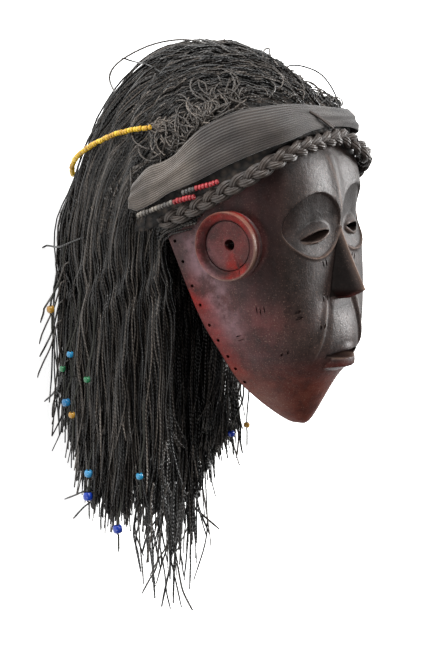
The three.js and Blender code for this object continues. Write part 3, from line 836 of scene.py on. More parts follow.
def bead_finish(name, colour, second, rough=0.22):
    """Opaque glass whose tone changes from bead to bead, with dusty streaks."""
    f = Finish(name, Specular_IOR_Level=0.5, IOR=1.5)
    streak = f.noise(500, 3, 0.6)
    base = f.mix(f.value("tone"), colour, second)
    f.set("Base Color", f.mix(f.spread(streak, 0.5, 0.75, 0.0, 0.4), base, rgb(60, 48, 40)))
    f.set("Roughness", f.spread(streak, 0.3, 0.7, rough, rough + 0.25))
    f.set("Normal", f.relief(streak, 0.0002, 0.4))
    return f.material


def thong_finish():
    """Dark hide with a fine grain."""
    f = Finish("thong", Roughness=0.7)
    grain = f.noise(700, 4, 0.6)
    f.set("Base Color", f.mix(grain, rgb(16, 12, 10), rgb(58, 44, 36)))
    f.set("Normal", f.relief(grain, 0.0004, 0.6))
    return f.material


# Wooden face


def eye_measures(x, y):
    """Place beside an eye, along its slit towards the nose and across it."""
    turn = math.radians(EYE["slant"])
    dx, dy = np.abs(x) - EYE["x"], y - EYE["y"]
    return dx, -dx * math.cos(turn) + dy * math.sin(turn), dx * math.sin(turn) + dy * math.cos(turn)


def slit_edge(along):
    """Height of the eye's slit over its middle line: a parabola along the slit."""
    return SLIT["half_high"] * (1 - (along / SLIT["half_long"]) ** 2)


def carved_forms(distance, table):
    """Ridges and grooves beside a line: a sum of bells, each with its place, half width and height."""
    return sum(height * bump(distance, place, half_wide) for place, half_wide, height in table)


def carve_eye(x, y, z):
    """Socket sunk below the front with a bowl in it, and the lids as half an ellipsoid over it."""
    u = (np.abs(x) - SOCKET["x"]) / SOCKET["half_wide"]
    v = (y - SOCKET["y"]) / SOCKET["half_high"]
    r = np.hypot(u, v)
    around = np.maximum(r, 1e-6)
    step = SOCKET["step"] + (SOCKET["outer"] * u + SOCKET["upper"] * v) / around
    bowl = SOCKET["bowl"] * (1 - np.minimum(r, 1) ** 2)
    floor = z - step - bowl + SOCKET_WALL * np.maximum(r - 1, 0)
    rim = SOCKET_RIM["high"] * bump(r, SOCKET_RIM["at"], SOCKET_RIM["half_wide"])
    z = soft_min(z + rim * smooth(-v / around, *SOCKET_RIM["fades"]), floor, BLEND["socket"])
    dx, along, across = eye_measures(x, y)
    half = np.where(across > 0, EYE["upper"], EYE["lower"])
    full = 1 - (along / EYE["half_long"]) ** 2 - (across / half) ** 2
    turned = math.tan(math.radians(EYE["turn"])) * dx
    lid = EYE["depth"] - turned + EYE["proud"] * np.sqrt(np.maximum(full, 0))
    lid = np.where(full > 0, lid, AWAY)
    seen = smooth(np.abs(along), *LID_EDGES_FADE)
    for side, apart, half_wide, height in LID_EDGES:
        lid = lid + seen * height * bump(across, side * (slit_edge(along) + apart), half_wide)
    return soft_max(z, lid, BLEND["lids"])


def down_the_nose(y):
    """Share of the way down from the bridge of the nose, 0, to its tip, 1."""
    return np.clip((NOSE["bridge_y"] - y) / NOSE["bridge_y"], 0, 1)


def carve_nose(x, y, z):
    """A sharp ridge from the bridge to the tip with flat sides, its foot drawn in under the tip."""
    share = down_the_nose(y)
    below = np.clip(y / NOSE["foot_y"], 0, 1)
    ridge = NOSE["bridge_z"] * (1 - share**1.08) - NOSE["foot_drop"] * below**1.3
    half = lerp(NOSE["bridge"], NOSE["wing"], share**1.15) * np.sqrt(1 - 0.8 * below**2)
    side = np.abs(x) / half
    wing = NOSE["wing_z"] - NOSE_DROP * np.maximum(side - NOSE_SIDE, 0)
    flat = ridge - (ridge - wing) * np.minimum(side, NOSE_SIDE) ** 0.96
    flat = np.where(side > NOSE_SIDE, wing, flat)
    body = np.where((y < NOSE["bridge_y"] + 2) & (y > NOSE["foot_y"]), flat, AWAY)
    return soft_max(z, body, BLEND["nose"])


def carve_mouth(x, y, z):
    """Two lips on a bowed front: a thin upper one, and a lower one as a shelf with sharp edges."""
    up = y - MOUTH["y"]
    inside = smooth(np.abs(x), MOUTH["half_long"], MOUTH["half_long"] - MOUTH_CORNER["long"])
    bow = MOUTH["front"] - x * x / MOUTH["bend"] - MOUTH_CORNER["deep"] * (1 - inside)
    upper = bow + UPPER_LIP["out"] - UPPER_LIP["bend"] * (up - UPPER_LIP["y"]) ** 2
    lower = bow + LOWER_LIP["out"] - LOWER_LIP["bend"] * (up - LOWER_LIP["y"]) ** 2
    lower = lower - LOWER_LIP["undercut"] * np.maximum(-up - LOWER_LIP["ledge"], 0)
    upper = np.where(up > UPPER_LIP["edge"], upper, AWAY)
    lower = np.where(up < LOWER_LIP["edge"], lower, AWAY)
    return soft_max(soft_max(z, upper, BLEND["upper_lip"]), lower, BLEND["lower_lip"])


def beside_fold(x, y):
    """Distance outwards from the fold that runs from the nose wing down past the mouth."""
    return np.abs(x) - (FOLD["x"] + FOLD["slant"] * (FOLD["y"] - y))


def carve_cheek(x, y, z):
    """The fold from the nose wing down past the mouth, a ridge with a hollow on its inner side."""
    seen = smooth(y, *FOLD["low"]) * smooth(y, *FOLD["high"])
    return z + seen * carved_forms(beside_fold(x, y), FOLD_FORMS)


def carved_front(angle, y):
    """Outer skin of the face with all its carving, as depth over the plain front."""
    p = face_point(angle, y)
    x, z = p[..., 0], p[..., 2]
    z = carve_cheek(x, y, z)
    z = carve_eye(x, y, z)
    z = carve_nose(x, y, z)
    z = carve_mouth(x, y, z)
    facing = smooth(np.cos(angle), 0.1, 0.45)
    p[..., 2] = lerp(p[..., 2], z, facing)
    return p


def spaced_angles(columns):
    """Column angles whose spacing along the section is even in front and wider on the sides."""
    angle = np.linspace(-np.pi / 2, np.pi / 2, 2001)
    p = face_point(angle, SECTION["y"])
    weight = np.where(np.abs(p[1:, 0]) < SECTION["front_half"], 1.0, SECTION["side_share"])
    length = np.concatenate([[0], np.cumsum(np.linalg.norm(np.diff(p, axis=0), axis=1) * weight)])
    return np.interp(np.linspace(0, length[-1], columns), length, angle)


def face_shell():
    """Rings of the carved outside, and of the plain hollow that is cut from it, open behind."""
    rows, columns = ((250, 250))
    angle = spaced_angles(columns)
    top = follow_plait(face_point, angle, WOOD_OVER_PLAIT)
    outer = carved_front(angle, lerp(CHIN_Y, top, np.linspace(0, 1, rows)[:, None] ** 1.04))
    rows, columns = 60, 72
    angle = spaced_angles(columns)
    top = follow_plait(face_point, angle, WOOD_OVER_PLAIT) + HOLLOW_OVER
    inner = face_point(angle, lerp(INNER_CHIN_Y, top, np.linspace(0, 1, rows)[:, None] ** 1.15), 1)
    back = inner[:, [0, -1]] - (0, 0, HOLLOW_BEHIND)
    return outer, np.concatenate([back[:, :1], inner, back[:, 1:]], axis=1)


def ear_disc(side):
    """Ear as rings from its hole out: a floor, a step up to a slanting ring, a round edge, a wall."""
    turn = round_angles(120)
    circle = np.stack([np.cos(turn), np.sin(turn)], -1)
    share, height = np.array(EAR_PROFILE).T[..., None]
    small = EAR["hole"] * circle + (EAR["hole_forward"], EAR["hole_up"])
    big = (EAR["radius"] - EAR["ring"]) * circle
    flat = lerp(small, big, np.minimum(share, 1)[..., None]) * np.maximum(share, 1)[..., None]
    forward, up = flat[..., 0], flat[..., 1]
    tilt = math.radians(EAR_SPLIT["turn"])
    beside = (forward - EAR_SPLIT["forward"]) * math.cos(tilt) + (up - EAR_SPLIT["up"]) * math.sin(tilt)
    low = smooth(up, *EAR_SPLIT["fades"]) * (height > 0)
    out = EAR["x"] + height + low * carved_forms(beside, EAR_SPLIT_FORMS)
    return np.stack([side * out, EAR["y"] + up, EAR["z"] + forward], -1)


def closed_lathe(profile, columns, side, centre):
    """Solid turned about an axis that points sideways, its profile given as radius and height."""
    turn = round_angles(columns)
    rings = [
        np.stack([np.full(columns, side * height), radius * np.sin(turn), radius * np.cos(turn)], -1)
        for radius, height in profile
    ]
    return loft(np.array(rings) + centre)


def almond(half_long, half_high, near, far, centre, turn, steps):
    """Prism whose outline is two arcs that meet in points, turned about the depth axis."""
    t = np.linspace(-1, 1, steps)
    top = np.stack([t * half_long, half_high * (1 - t * t)], -1)
    outline = np.concatenate([top, top[-2:0:-1] * (1, -1)])
    c, s = math.cos(turn), math.sin(turn)
    flat = outline @ np.array([[c, s], [-s, c]])
    rings = [np.concatenate([flat, np.full((len(flat), 1), depth)], axis=1) for depth in (far, near)]
    return loft(np.array(rings) + np.array([*centre, 0.0]))


def outward(points, faces):
    """Faces turned round where the skin they make has a negative volume."""
    volume = 0.0
    for f in faces:
        for k in range(1, f.shape[1] - 1):
            a, b, c = points[f[:, 0]], points[f[:, k]], points[f[:, k + 1]]
            volume += (a * np.cross(b, c)).sum()
    return points, faces if volume > 0 else [f[:, ::-1] for f in faces]


def cut_or_join(piece, skin, operation):
    """Boolean of a piece with one closed skin, applied to its mesh."""
    tool = new_piece("tool", *outward(*skin), piece.data.materials[0], "carved_wood")
    modifier = piece.modifiers.new("shape", "BOOLEAN")
    modifier.object = tool
    modifier.operation = operation
    modifier.solver = "MANIFOLD"
    graph = bpy.context.evaluated_depsgraph_get()
    made = bpy.data.meshes.new_from_object(piece.evaluated_get(graph))
    piece.modifiers.clear()
    old = piece.data
    piece.data = made
    bpy.data.meshes.remove(old)
    bpy.data.objects.remove(tool)


# Cuts in the wood by the places in the photograph that their two ends have, and their half width
MARKS = [
    ((320.8, 262), (322.3, 268.8), 1.0),
    ((323.9, 260), (325.4, 268), 1.1),
    ((321.3, 297), (322.2, 303), 1.0),
    ((325.0, 295), (326.0, 301.5), 1.1),
    ((292.5, 314.3), (299.5, 310.8), 1.4),
    ((293.8, 320.3), (301.3, 317), 1.5),
    ((318.3, 330.5), (320, 325), 1.0),
    ((322.3, 330), (323.9, 323.3), 1.1),
    ((279.5, 356.3), (281.6, 352), 0.9),
    ((285.8, 354.2), (287.8, 350), 1.0),
    ((255.0, 306), (256.6, 315), 0.5),
    ((258.7, 307), (260.0, 316.3), 0.5),
    ((262.5, 306), (263.8, 314), 0.5),
    ((235.0, 336.8), (241.0, 335), 0.5),
    ((237.5, 340.6), (243.8, 339), 0.5),
]
MARK_DEEP = 1.7
MARK_OVER = 4
# Heights of the holes along the rim, how far before it they lie and how they run through the wall
RIM_HOLES = [40, 23, 3, -13, -30, -43, -57, -68, -80]
RIM_HOLE = dict(before=5.4, radius=1.5, share_out=0.9, inner=-40, outer=30)
# How far the cuts through eyes, ears and mouth reach before and behind the wood
EYE_CUT = (10, -90)
MOUTH_CUT = (10, -60)
EAR_CUT = (-30, 20)


def image_axes():
    """Directions in the mask's frame to the photograph's right and top and towards the camera."""
    back = unit(TO_CAMERA)
    right = unit(np.cross(IMAGE_UP, back))
    return right, np.cross(back, right), back


def in_image_plane(pixels):
    """Points that the photograph shows at pixels, in the plane through the tip of the nose."""
    right, up, _ = image_axes()
    across = (pixels[..., :1] - NOSE_PIXEL[0]) * PIXEL
    upward = (NOSE_PIXEL[1] - pixels[..., 1:]) * PIXEL
    return across * right + upward * up


def to_pixels(p):
    """Where the photograph shows points, and how near the camera they are."""
    right, up, back = image_axes()
    return NOSE_PIXEL[0] + p @ right / PIXEL, NOSE_PIXEL[1] - p @ up / PIXEL, p @ back


def face_under(pixels):
    """Points of the carved skin under pixels, and its normals there, from a fine grid of samples."""
    skin = carved_front(*np.meshgrid(np.linspace(-1.55, 0.1, 700), np.linspace(-95, 70, 700)))
    normals = unit(np.cross(np.gradient(skin, axis=1), np.gradient(skin, axis=0)))
    px, py, near = to_pixels(skin)
    found = []
    for x, y in pixels:
        fits = np.hypot(px - x, py - y) - 0.01 * near
        k = np.unravel_index(fits.argmin(), fits.shape)
        found.append((skin[k], normals[k]))
    return [np.array(part) for part in zip(*found)]


def mark_cutters():
    """Slim prisms with pointed ends across the skin, a little deeper than it, the same on both halves."""
    ends, normals = face_under([pixel for mark in MARKS for pixel in mark[:2]])
    skins = []
    for k, (_, _, half_wide) in enumerate(MARKS):
        first, last = ends[2 * k], ends[2 * k + 1]
        out = unit(normals[2 * k] + normals[2 * k + 1])
        along = last - first
        half_long = np.linalg.norm(along) / 2
        across = unit(np.cross(out, along))
        points, faces = almond(half_long, half_wide, MARK_OVER, -MARK_DEEP, (0, 0), 0, 8)
        axes = np.stack([unit(along), across, out])
        points = points @ axes + (first + last) / 2
        skins += [(points, faces), (points * (-1, 1, 1), faces)]
    return skins


def rim_cutters():
    """Round holes through the wall beside its rim, pointing sideways."""
    profile = [(RIM_HOLE["radius"], RIM_HOLE["inner"]), (RIM_HOLE["radius"], RIM_HOLE["outer"])]
    skins = []
    for side in (-1, 1):
        for y in RIM_HOLES:
            half_width, rim = values_at(FACE_STATIONS, float(y))[:2]
            centre = np.array([side * half_width * RIM_HOLE["share_out"], y, rim + RIM_HOLE["before"]])
            skins.append(closed_lathe(profile, 10, side, centre))
    return skins


def on_ear(y, z):
    """Place on an ear, forward and up from its middle, and how far it is from there."""
    forward, up = z - EAR["z"], y - EAR["y"]
    return forward, up, np.hypot(forward, up)


def out_of_socket(wide, y):
    """Share of the way from the middle of an eye's socket, 0, to its edge, 1."""
    v = (y - SOCKET["y"]) / SOCKET["half_high"]
    return np.hypot((wide - SOCKET["x"]) / SOCKET["half_wide"], v)


def ochre_share(wide, y, z, from_rim):
    """Red ochre along rim and jaw, on chin and ears, under the nose and below the mouth."""
    forward, up, ear = on_ear(y, z)
    outside = wide > EAR_FROM
    jaw = smooth(from_rim, 34, 2) * smooth(y, 24, -16)
    patch = 0.14 * bump(np.hypot(z + 60, y + 25), 0, 26)
    chin = 0.6 * smooth(y, -52, -92)
    high = (-0.6 * forward + 0.8 * up) / np.maximum(ear, 1)
    ring = smooth(ear, 20.5, 22.5) * lerp(0.15, 1.0, smooth(high, -0.5, 0.3)) * (wide > 80) * (ear < 30.5)
    deposit = smooth(up, -9, -17) * (ear < 27) * outside * smooth(forward, -8, 2)
    dish = 0.35 * (ear < 21) * outside
    foot = 0.5 * bump(y, -6, 4) * (wide < 15) * (z > -24) * (z < -1.5)
    lip = 0.25 * bump(y, MOUTH["y"] - 8.5, 3.5) * (wide < 22) * (z > -34)
    return np.clip(np.maximum.reduce([jaw, patch, chin, ring, deposit, dish, foot, lip]), 0, 1)


def shade_and_darkening_share(wide, y, z):
    """Painted shade round the eyes, beside and under the nose, in the mouth and on the ears; darker wood
    on the brow and beside the ears.
    """
    forward, up, ear = on_ear(y, z)
    outside = wide > EAR_FROM
    _, along, across = eye_measures(wide, y)
    socket = out_of_socket(wide, y)
    # Painted shade in the eye's outer corner, the lid crease, the upper socket bowl and along the
    # socket's edge
    corner = 0.7 * bump(np.hypot(along + 22, across + 3), 0, 8)
    crease = 0.75 * bump(across, 12.5 - along * along / 60, 3.8) * smooth(np.abs(along + 4), 22, 12)
    bowl = 0.6 * smooth(across, 6, 13) * smooth(socket, 1.0, 0.93)
    edge = 0.85 * bump(socket, 0.985, 0.022) * smooth(y, 46, 62)
    # Painted shade in the mouth slit, under the nose and on the nose's sides
    slit = bump(y, MOUTH["y"] + 1.2, 2.6) * (wide < 26) * (z > -40)
    under = 0.6 * bump(y, -15, 6) * (wide < 17)
    on_nose = (wide < NOSE["wing"] * down_the_nose(y) + 3) & (y > -7)
    nose_side = 0.9 * smooth(wide, 1.2, 4.5) * smooth(y, 47, 38) * on_nose
    # Painted shade in the ear's groove and a painted shadow on the lower ring
    groove = 0.9 * bump(ear, 21.2, 0.7) * outside
    low_ring = (-0.8 * forward - 0.6 * up) / np.maximum(ear, 1)
    shaded = 0.8 * smooth(low_ring, -0.2, 0.7) * bump(ear, 23, 4.0) * outside
    # Darker wood beside the ears and towards the top of the brow
    darker_by_ear = 0.72 * bump(z, -56, 20) * smooth(y, -30, 24) * (wide > 40) * smooth(ear, 29, 33)
    brow = 0.3 * smooth(y, 78, 104)
    eye = np.maximum(crease, bowl) * (z > EYE_BEHIND)
    darks = [darker_by_ear, brow, eye, corner, edge, slit, under, nose_side, groove, shaded]
    return np.clip(np.maximum.reduce(darks), 0, 0.95) * (z > -150)


def highlight_and_wear_share(x, y, z):
    """Edges lighter by wear and painted highlight: ridge and tip of the nose, keel, lips, lids, sockets,
    cheeks and ears.
    """
    wide = np.abs(x)
    _, along, across = eye_measures(x, y)
    lens = slit_edge(along)
    ridge = 0.6 * bump(x, 0, 1.0) * ((y > 0) & (y < 50))
    keel = 0.32 * bump(x - lerp(1, -6, (y - 66) / 44), 0, 1.3) * smooth(y, 58, 70) * smooth(y, 116, 108)
    tip = 0.8 * bump(np.sqrt(x**2 + y**2 + z**2), 0, 3.0)
    lip_edge = 0.6 * bump(y, MOUTH["y"] - 1.9, 0.7) * (wide < 19) * (z > -32)
    lids = 0.5 * bump(across, -lens - 1.2, 0.8) + 0.25 * bump(across, lens + 0.8, 0.6)
    lids = lids * (np.abs(along) < 16) * (z > EYE_BEHIND)
    rim_low = 0.4 * bump(out_of_socket(wide, y), 1.04, 0.025) * smooth(SOCKET["y"] - y, -4, 14)
    rim_low = rim_low * (z > EYE_BEHIND)
    cheek = 0.14 * bump(beside_fold(x, y), 1.2, 1.6) * smooth(y, -60, -40) * smooth(y, 0, -16)
    ear_edge = 0.55 * bump(on_ear(y, z)[2], 29.0, 0.8) * (wide > 82)
    return np.clip(ridge + keel + tip + lip_edge + lids + rim_low + cheek + ear_edge, 0, 0.8)


def wood_values(p, normal):
    """Shares of ochre, chin tan, painted shade with darker wood, wear with painted highlight, grey front
    and painted sheen, by the place on the face.
    """
    x, y, z = p.T
    wide = np.abs(x)
    from_rim = z - values_at(FACE_STATIONS, y)[:, 1]
    turned_in = (np.sign(x) * normal[:, 0] < -0.2) | (normal[:, 2] < -0.3)
    inside = turned_in & (wide < 72) & (z < -58) & (y > -112)
    return {
        "ochre": ochre_share(wide, y, z, from_rim),
        "chin": smooth(y, -52, -92),
        # Faces turned into the hollow get an even painted shade and no painted highlight
        "shade_and_darkening": np.where(inside, 0.35, shade_and_darkening_share(wide, y, z)),
        "highlight_and_wear": np.where(inside, 0, highlight_and_wear_share(x, y, z)),
        "frontness": smooth(z, -66, -36) * smooth(y, -86, -40),
        # Painted sheen on the sides between the rim and the ears
        "painted_sheen": 0.7 * bump(from_rim, 25, 14) * bump(y, 6, 46) * (1 - inside),
    }


def make_wood():
    """The whole wooden face: shell, ears and collars joined, then every opening and mark cut."""
    outer, inner = face_shell()
    face = new_piece("carved_face", *outward(*loft(outer)), wood_finish(), "carved_wood")
    cut_or_join(face, loft(inner), "DIFFERENCE")
    for side in (-1, 1):
        centre = np.array([side * EAR["x"], EAR["y"], EAR["z"] + COLLAR_FORWARD])
        cut_or_join(face, closed_lathe(COLLAR_PROFILE, 96, side, centre), "UNION")
        cut_or_join(face, loft(ear_disc(side)), "UNION")
    cutters = [*mark_cutters(), *rim_cutters()]
    for side in (-1, 1):
        eye = (side * EYE["x"], EYE["y"])
        turn = math.radians(EYE["slant"]) * -side
        cutters.append(almond(SLIT["half_long"], SLIT["half_high"], *EYE_CUT, eye, turn, 20))
        hole = np.array([side * EAR["x"], EAR["y"] + EAR["hole_up"], EAR["z"] + EAR["hole_forward"]])
        cutters.append(closed_lathe([(EAR["hole"], end) for end in EAR_CUT], 32, side, hole))
    mouth = (0, MOUTH["y"] + MOUTH["slit_up"])
    cutters.append(almond(MOUTH["slit_long"], MOUTH["slit_high"], *MOUTH_CUT, mouth, 0, 20))
    for cutter in cutters:
        cut_or_join(face, cutter, "DIFFERENCE")
    normal = np.empty(3 * len(face.data.vertices))
    face.data.vertex_normals.foreach_get("vector", normal)
    for name, values in wood_values(points_of(face), normal.reshape(-1, 3)).items():
        give_values(face, name, values)
    face.data.shade_smooth()
    face.data.set_sharp_from_angle(angle=math.radians(SHARP_FROM))
    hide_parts("wooden_face")


# Wig


def cord_directions(p):
    """Way a cord runs: back over the crown, ever more down towards the back, straight down below."""
    fall = values_at(CORD_FALL, p[:, 2])[:, 0]
    fall = np.radians(lerp(fall, CORD_FALL_LOW["steep"], smooth(p[:, 1], *CORD_FALL_LOW["y"])))
    normal = unit(wig_slope(p))
    return square_to(np.stack([np.zeros(len(p)), -np.sin(fall), -np.cos(fall)], -1), normal), normal


def wig_angle(p):
    """Angle of a point round the wig's middle, from the front to the mask's right, 0 to 2 pi."""
    half = values_at(WIG_STATIONS, p[:, 1])
    return np.arctan2(half[:, 3] - p[:, 0], p[:, 2] - half[:, 2]) % (2 * np.pi)


def run_cords(roots, off_top, off_low, random):
    """Cords from their roots: even steps along the flow at their own depth, then hanging free."""
    p = settle(roots, off_top, 3)
    track = [p]
    wander = random.normal(0, 1, (3, len(p)))
    phases = random.uniform(0, 2 * np.pi, (3, len(p)))
    lean = random.normal(0, CORD_LEAN, (len(p), 3)) * (1, 0, 0.5)
    for step in range(CORD_STEPS):
        way, normal = cord_directions(p)
        sway = sum(
            wander[k] * amount * np.sin(step * CORD_STEP / wave + phases[k])
            for k, (amount, wave) in enumerate(SWAYS)
        )[:, None]
        way = unit(way + sway * np.cross(normal, way))
        free = smooth(p[:, 1:2], *HANGS_FREE)
        down = unit(np.array([0, -1.0, 0]) + lean + SWAY_FREE * sway * np.cross(normal, way))
        p = p + CORD_STEP * unit(lerp(way, down, free))
        shift = sum(amount * np.sin(p[:, 1] / wave) for amount, wave in LOCK_WANDER)
        lock = np.sin(LOCKS * wig_angle(p) + shift)
        off = lerp(off_top, off_low, smooth(p[:, 1], 90, -40)) - LOCK_DEPTH * (1 - lock)
        p = keep_off_floor(behind_edges(lerp(settle(p, off), p, free)))
        track.append(p)
    return np.stack(track, 1)


def share_round(p):
    """How far round the curtain a point is, 0 at its right front edge and 1 at the left one."""
    edges = values_at(CURTAIN_EDGES, p[:, 1])
    angle = wig_angle(p)
    first = edge_angle(edges[:, 0], p[:, 1])
    last = 2 * np.pi - edge_angle(edges[:, 1], p[:, 1])
    return np.clip((angle - first) / (last - first), 0, 1)


def cut_to_length(tracks, random, points):
    """Each track cut at the height where its lock ends, with even points along it, its end bent away."""
    count, steps = tracks.shape[:2]
    row = np.arange(count)
    reached = np.clip((tracks[:, :, 1] > HANG_Y).sum(axis=1), 0, steps - 1)
    around = share_round(tracks[row, reached])
    lowest, above = np.moveaxis(values_at(CORD_ENDS, around), -1, 0)
    lock = LOCK_ENDS * np.sin(around * 2 * np.pi * LOCKS)
    thin = TAIL_THINS * random.uniform(0, 1, count) ** 0.6 * smooth(lowest, *TAIL_THINS_AT)
    shorter = np.minimum(above * random.gamma(2.0, 0.55, count), 0.55 * (HANG_Y - lowest))
    ends = lowest + lock + thin + shorter
    kept = np.clip((tracks[:, :, 1] > ends[:, None]).sum(axis=1), 12, steps - 1)
    place = np.linspace(0, 1, points) * (kept[:, None] - 1)
    low = np.floor(place).astype(int)
    after = np.minimum(low + 1, steps - 1)
    paths = lerp(tracks[row[:, None], low], tracks[row[:, None], after], (place - low)[..., None])
    last = np.clip((np.linspace(0, 1, points) - 0.8) / 0.2, 0, 1)[:, None] ** 1.6
    bend = random.normal(0, 1, (count, 1, 3)) * END_BEND * random.gamma(1.0, 1.0, (count, 1, 1))
    return keep_off_floor(paths + last * np.clip(bend, -END_BEND_MOST, END_BEND_MOST))


def band_top(degrees):
    """Height of the band's upper edge, or of the cap's hem where there is no band."""
    turned = (np.asarray(degrees) + 180) % 360 - 180
    return np.where(np.abs(turned) < BAND_END, values_at(BAND_STATIONS, turned)[..., 1], BAND_NO_TOP)


def crown_roots(count, random):
    """Roots over the cap above the band, thicker in the rows next to the band."""
    angle = random.uniform(-CROWN_ROOTS["angle"], CROWN_ROOTS["angle"], count)
    lowest = band_top(angle) - CROWN_ROOTS["below_band"]
    share = random.uniform(0, 1, count) ** CROWN_ROOTS["gather"]
    return wig_point(np.radians(angle), lerp(lowest, CROWN_ROOTS["top"], share))


def hem_roots(count, random):
    """Roots along the hem of the cap from ear to ear round the back."""
    angle = random.uniform(*HEM_ROOTS["angle"], count)
    return wig_point(np.radians(angle), lerp(*HEM_ROOTS["y"], random.uniform(0, 1, count)))


def cord_piece(name, paths, finish, random, sides=3, radius=CORD_RADIUS, light=0.0):
    """One mesh of many cords, thinner at their ends, each with its own tone."""
    count, steps = paths.shape[:2]
    size = radius * random.uniform(0.8, 1.2, count)[:, None]
    size = size * np.where(np.arange(steps) < steps - 2, 1.0, 0.75)[None, :]
    hint = unit(random.normal(0, 1, (count, 3)))
    points, faces, uv = tubes(paths, size, sides, hint)
    piece = new_piece(name, points, faces, finish, "fibre_cord", uv)
    tone = np.clip(random.beta(0.5, 2.6, count) + light, 0, 1)
    give_values(piece, "tone", np.repeat(tone, steps * sides))
    return piece


def curls(count, random):
    """Curly roots over the right temple: a rising start, then a loop or two lying on the cords."""
    near = int(CURLS["near"] * count)
    angle = np.concatenate([
        random.normal(*CURLS["angle"], near), random.uniform(*CURLS["others"], count - near),
    ])
    over = np.where(np.arange(count) < near, *CURLS["over_band"])
    y = band_top(angle) + np.abs(random.normal(0, over)) + 1
    root = wig_point(np.radians(angle), np.minimum(y, CURLS["most_y"]), 0.5)
    normal = unit(wig_slope(root))
    rise = unit(np.array(CURLS["rise"]) + random.normal(0, CURLS["scatter"], (count, 3)))
    way = square_to(rise, normal)
    side = np.cross(normal, way)[:, None]
    way = way[:, None]
    each = (count, 1, 1)
    t = np.linspace(0, 1, 20)[:, None]
    turns = random.uniform(*CURLS["turns"], each) * 2 * np.pi * random.choice([-1, 1], each)
    size = random.uniform(*CURLS["size"], each)
    drift = random.uniform(*CURLS["drift"], each)
    lift = random.uniform(*CURLS["lift"], each)
    loop = size * (np.sin(turns * t) * side + (1 - np.cos(turns * t)) * way)
    path = root[:, None] + loop + 0.6 * drift * t * way
    out = unit(wig_slope(path))
    path = settle(path, np.zeros(path.shape[:2]))
    return path + (0.4 + lift * np.sin(np.pi * t) ** 0.8) * out


# Cords that stand away from the rest, by the places in the photograph that they pass
NEAR_STRAYS = [
    [(118, 98), (110, 82), (112, 70), (125, 58), (150, 46), (175, 41), (196, 43), (214, 50)],
    [(168, 80), (150, 68), (134, 62), (122, 58)],
    [(198, 40), (206, 43), (216, 47), (230, 56)],
    [(262, 62), (264, 52), (269, 51), (270, 59), (278, 70)],
    [(286, 68), (300, 68), (318, 75), (330, 88), (338, 104), (341, 114)],
    [(322, 104), (329, 99), (336, 103), (338, 112)],
    [(84, 238), (70, 243), (58, 247), (46, 245), (32, 246)],
    [(66, 262), (56, 288), (44, 306), (34, 322)],
    [(62, 280), (54, 306), (44, 326), (36, 344)],
    [(60, 300), (52, 330), (45, 344), (38, 357)],
    [(58, 320), (50, 346), (42, 362), (35, 378)],
    [(66, 360), (60, 382), (52, 394), (43, 402)],
    [(64, 374), (56, 394), (52, 406), (51, 418)],
    [(98, 470), (92, 486), (78, 494), (64, 500)],
    [(100, 486), (92, 500), (83, 508), (73, 519)],
    [(106, 488), (102, 505), (101, 518), (101, 530)],
    [(138, 500), (134, 531), (138, 552), (141, 571)],
    [(160, 530), (157, 564), (150, 578), (142, 593)],
]
FAR_STRAYS = [
    [(176, 488), (183, 502), (200, 518), (219, 534)],
    [(193, 440), (195, 459), (197, 506), (209, 539)],
    [(201, 430), (203, 453), (206, 500), (206, 543), (193, 588)],
    [(236, 400), (238, 416), (239, 440), (237, 461)],
    [(239, 408), (241, 431), (241, 444), (243, 456)],
    [(212, 446), (214, 467), (214, 475), (215, 482)],
    [(158, 552), (163, 580), (165, 600), (169, 618)],
    [(176, 570), (181, 596), (187, 610), (192, 619)],
]
STRAY_SUNK = 4.0
# Frayed tie at the front end of the yellow string: where its cords start and end in the
# photograph, across and down, how they bow, in pixels, how often and in which direction
TIE = dict(
    count=14, start=((148, 155), (126, 131)), end=((160, 176), (118, 136)), knots=6,
    bows=(3.0, 1.5), waves=2, towards=(0.3, 1), over=1.6,
)
# Thin end of the longest lock: the same, and how far its cords start from below their ends
TAIL = dict(
    count=30, start=((128, 188), (455, 515)), end=((134, 193), (548, 612)), tip=(172, 616), half_wide=60,
    apart=9, knots=7, bows=(3.2, 1.4), waves=2.5, towards=(1, 0), under=5, scatter=2.5,
)


def on_sight_line(pixels, far):
    """Points on the lines of sight through pixels, where they first or last meet the wig's skin."""
    depth = np.linspace(120, -320, 221)
    line = in_image_plane(pixels)[:, None] + depth[:, None] * unit(TO_CAMERA)
    level = wig_level(line)
    met = level < (0.97 if far else 1.0)
    first = met.argmax(axis=1)
    last = level.shape[1] - 1 - met[:, ::-1].argmax(axis=1)
    chosen = np.where(met.any(axis=1), last if far else first, level.argmin(axis=1))
    return line[np.arange(len(line)), chosen]


def stray_paths():
    """Smooth paths of the stray cords, their first ends pushed in among the others."""
    paths = []
    for far, group in ((False, NEAR_STRAYS), (True, FAR_STRAYS)):
        for stray in group:
            path = through(on_sight_line(np.array(stray, float), far), FREE_STEPS)
            path[0] = settle(path[:1], np.array([-STRAY_SUNK]))[0]
            paths.append(path)
    return keep_off_floor(np.array(paths))


def random_pixel(places, random):
    """A place in the photograph drawn from a range across and a range down."""
    return np.array([random.uniform(*places[0]), random.uniform(*places[1])])


def bowed(start, end, how, random):
    """Pixels from start to end, moved off their line by two sine waves of random size."""
    t = np.linspace(0, 1, how["knots"])[:, None]
    bow = random.normal(0, how["bows"][0]) * np.sin(np.pi * t)
    bow = bow + random.normal(0, how["bows"][1]) * np.sin(how["waves"] * np.pi * t)
    return lerp(start, end, t) + bow * how["towards"]


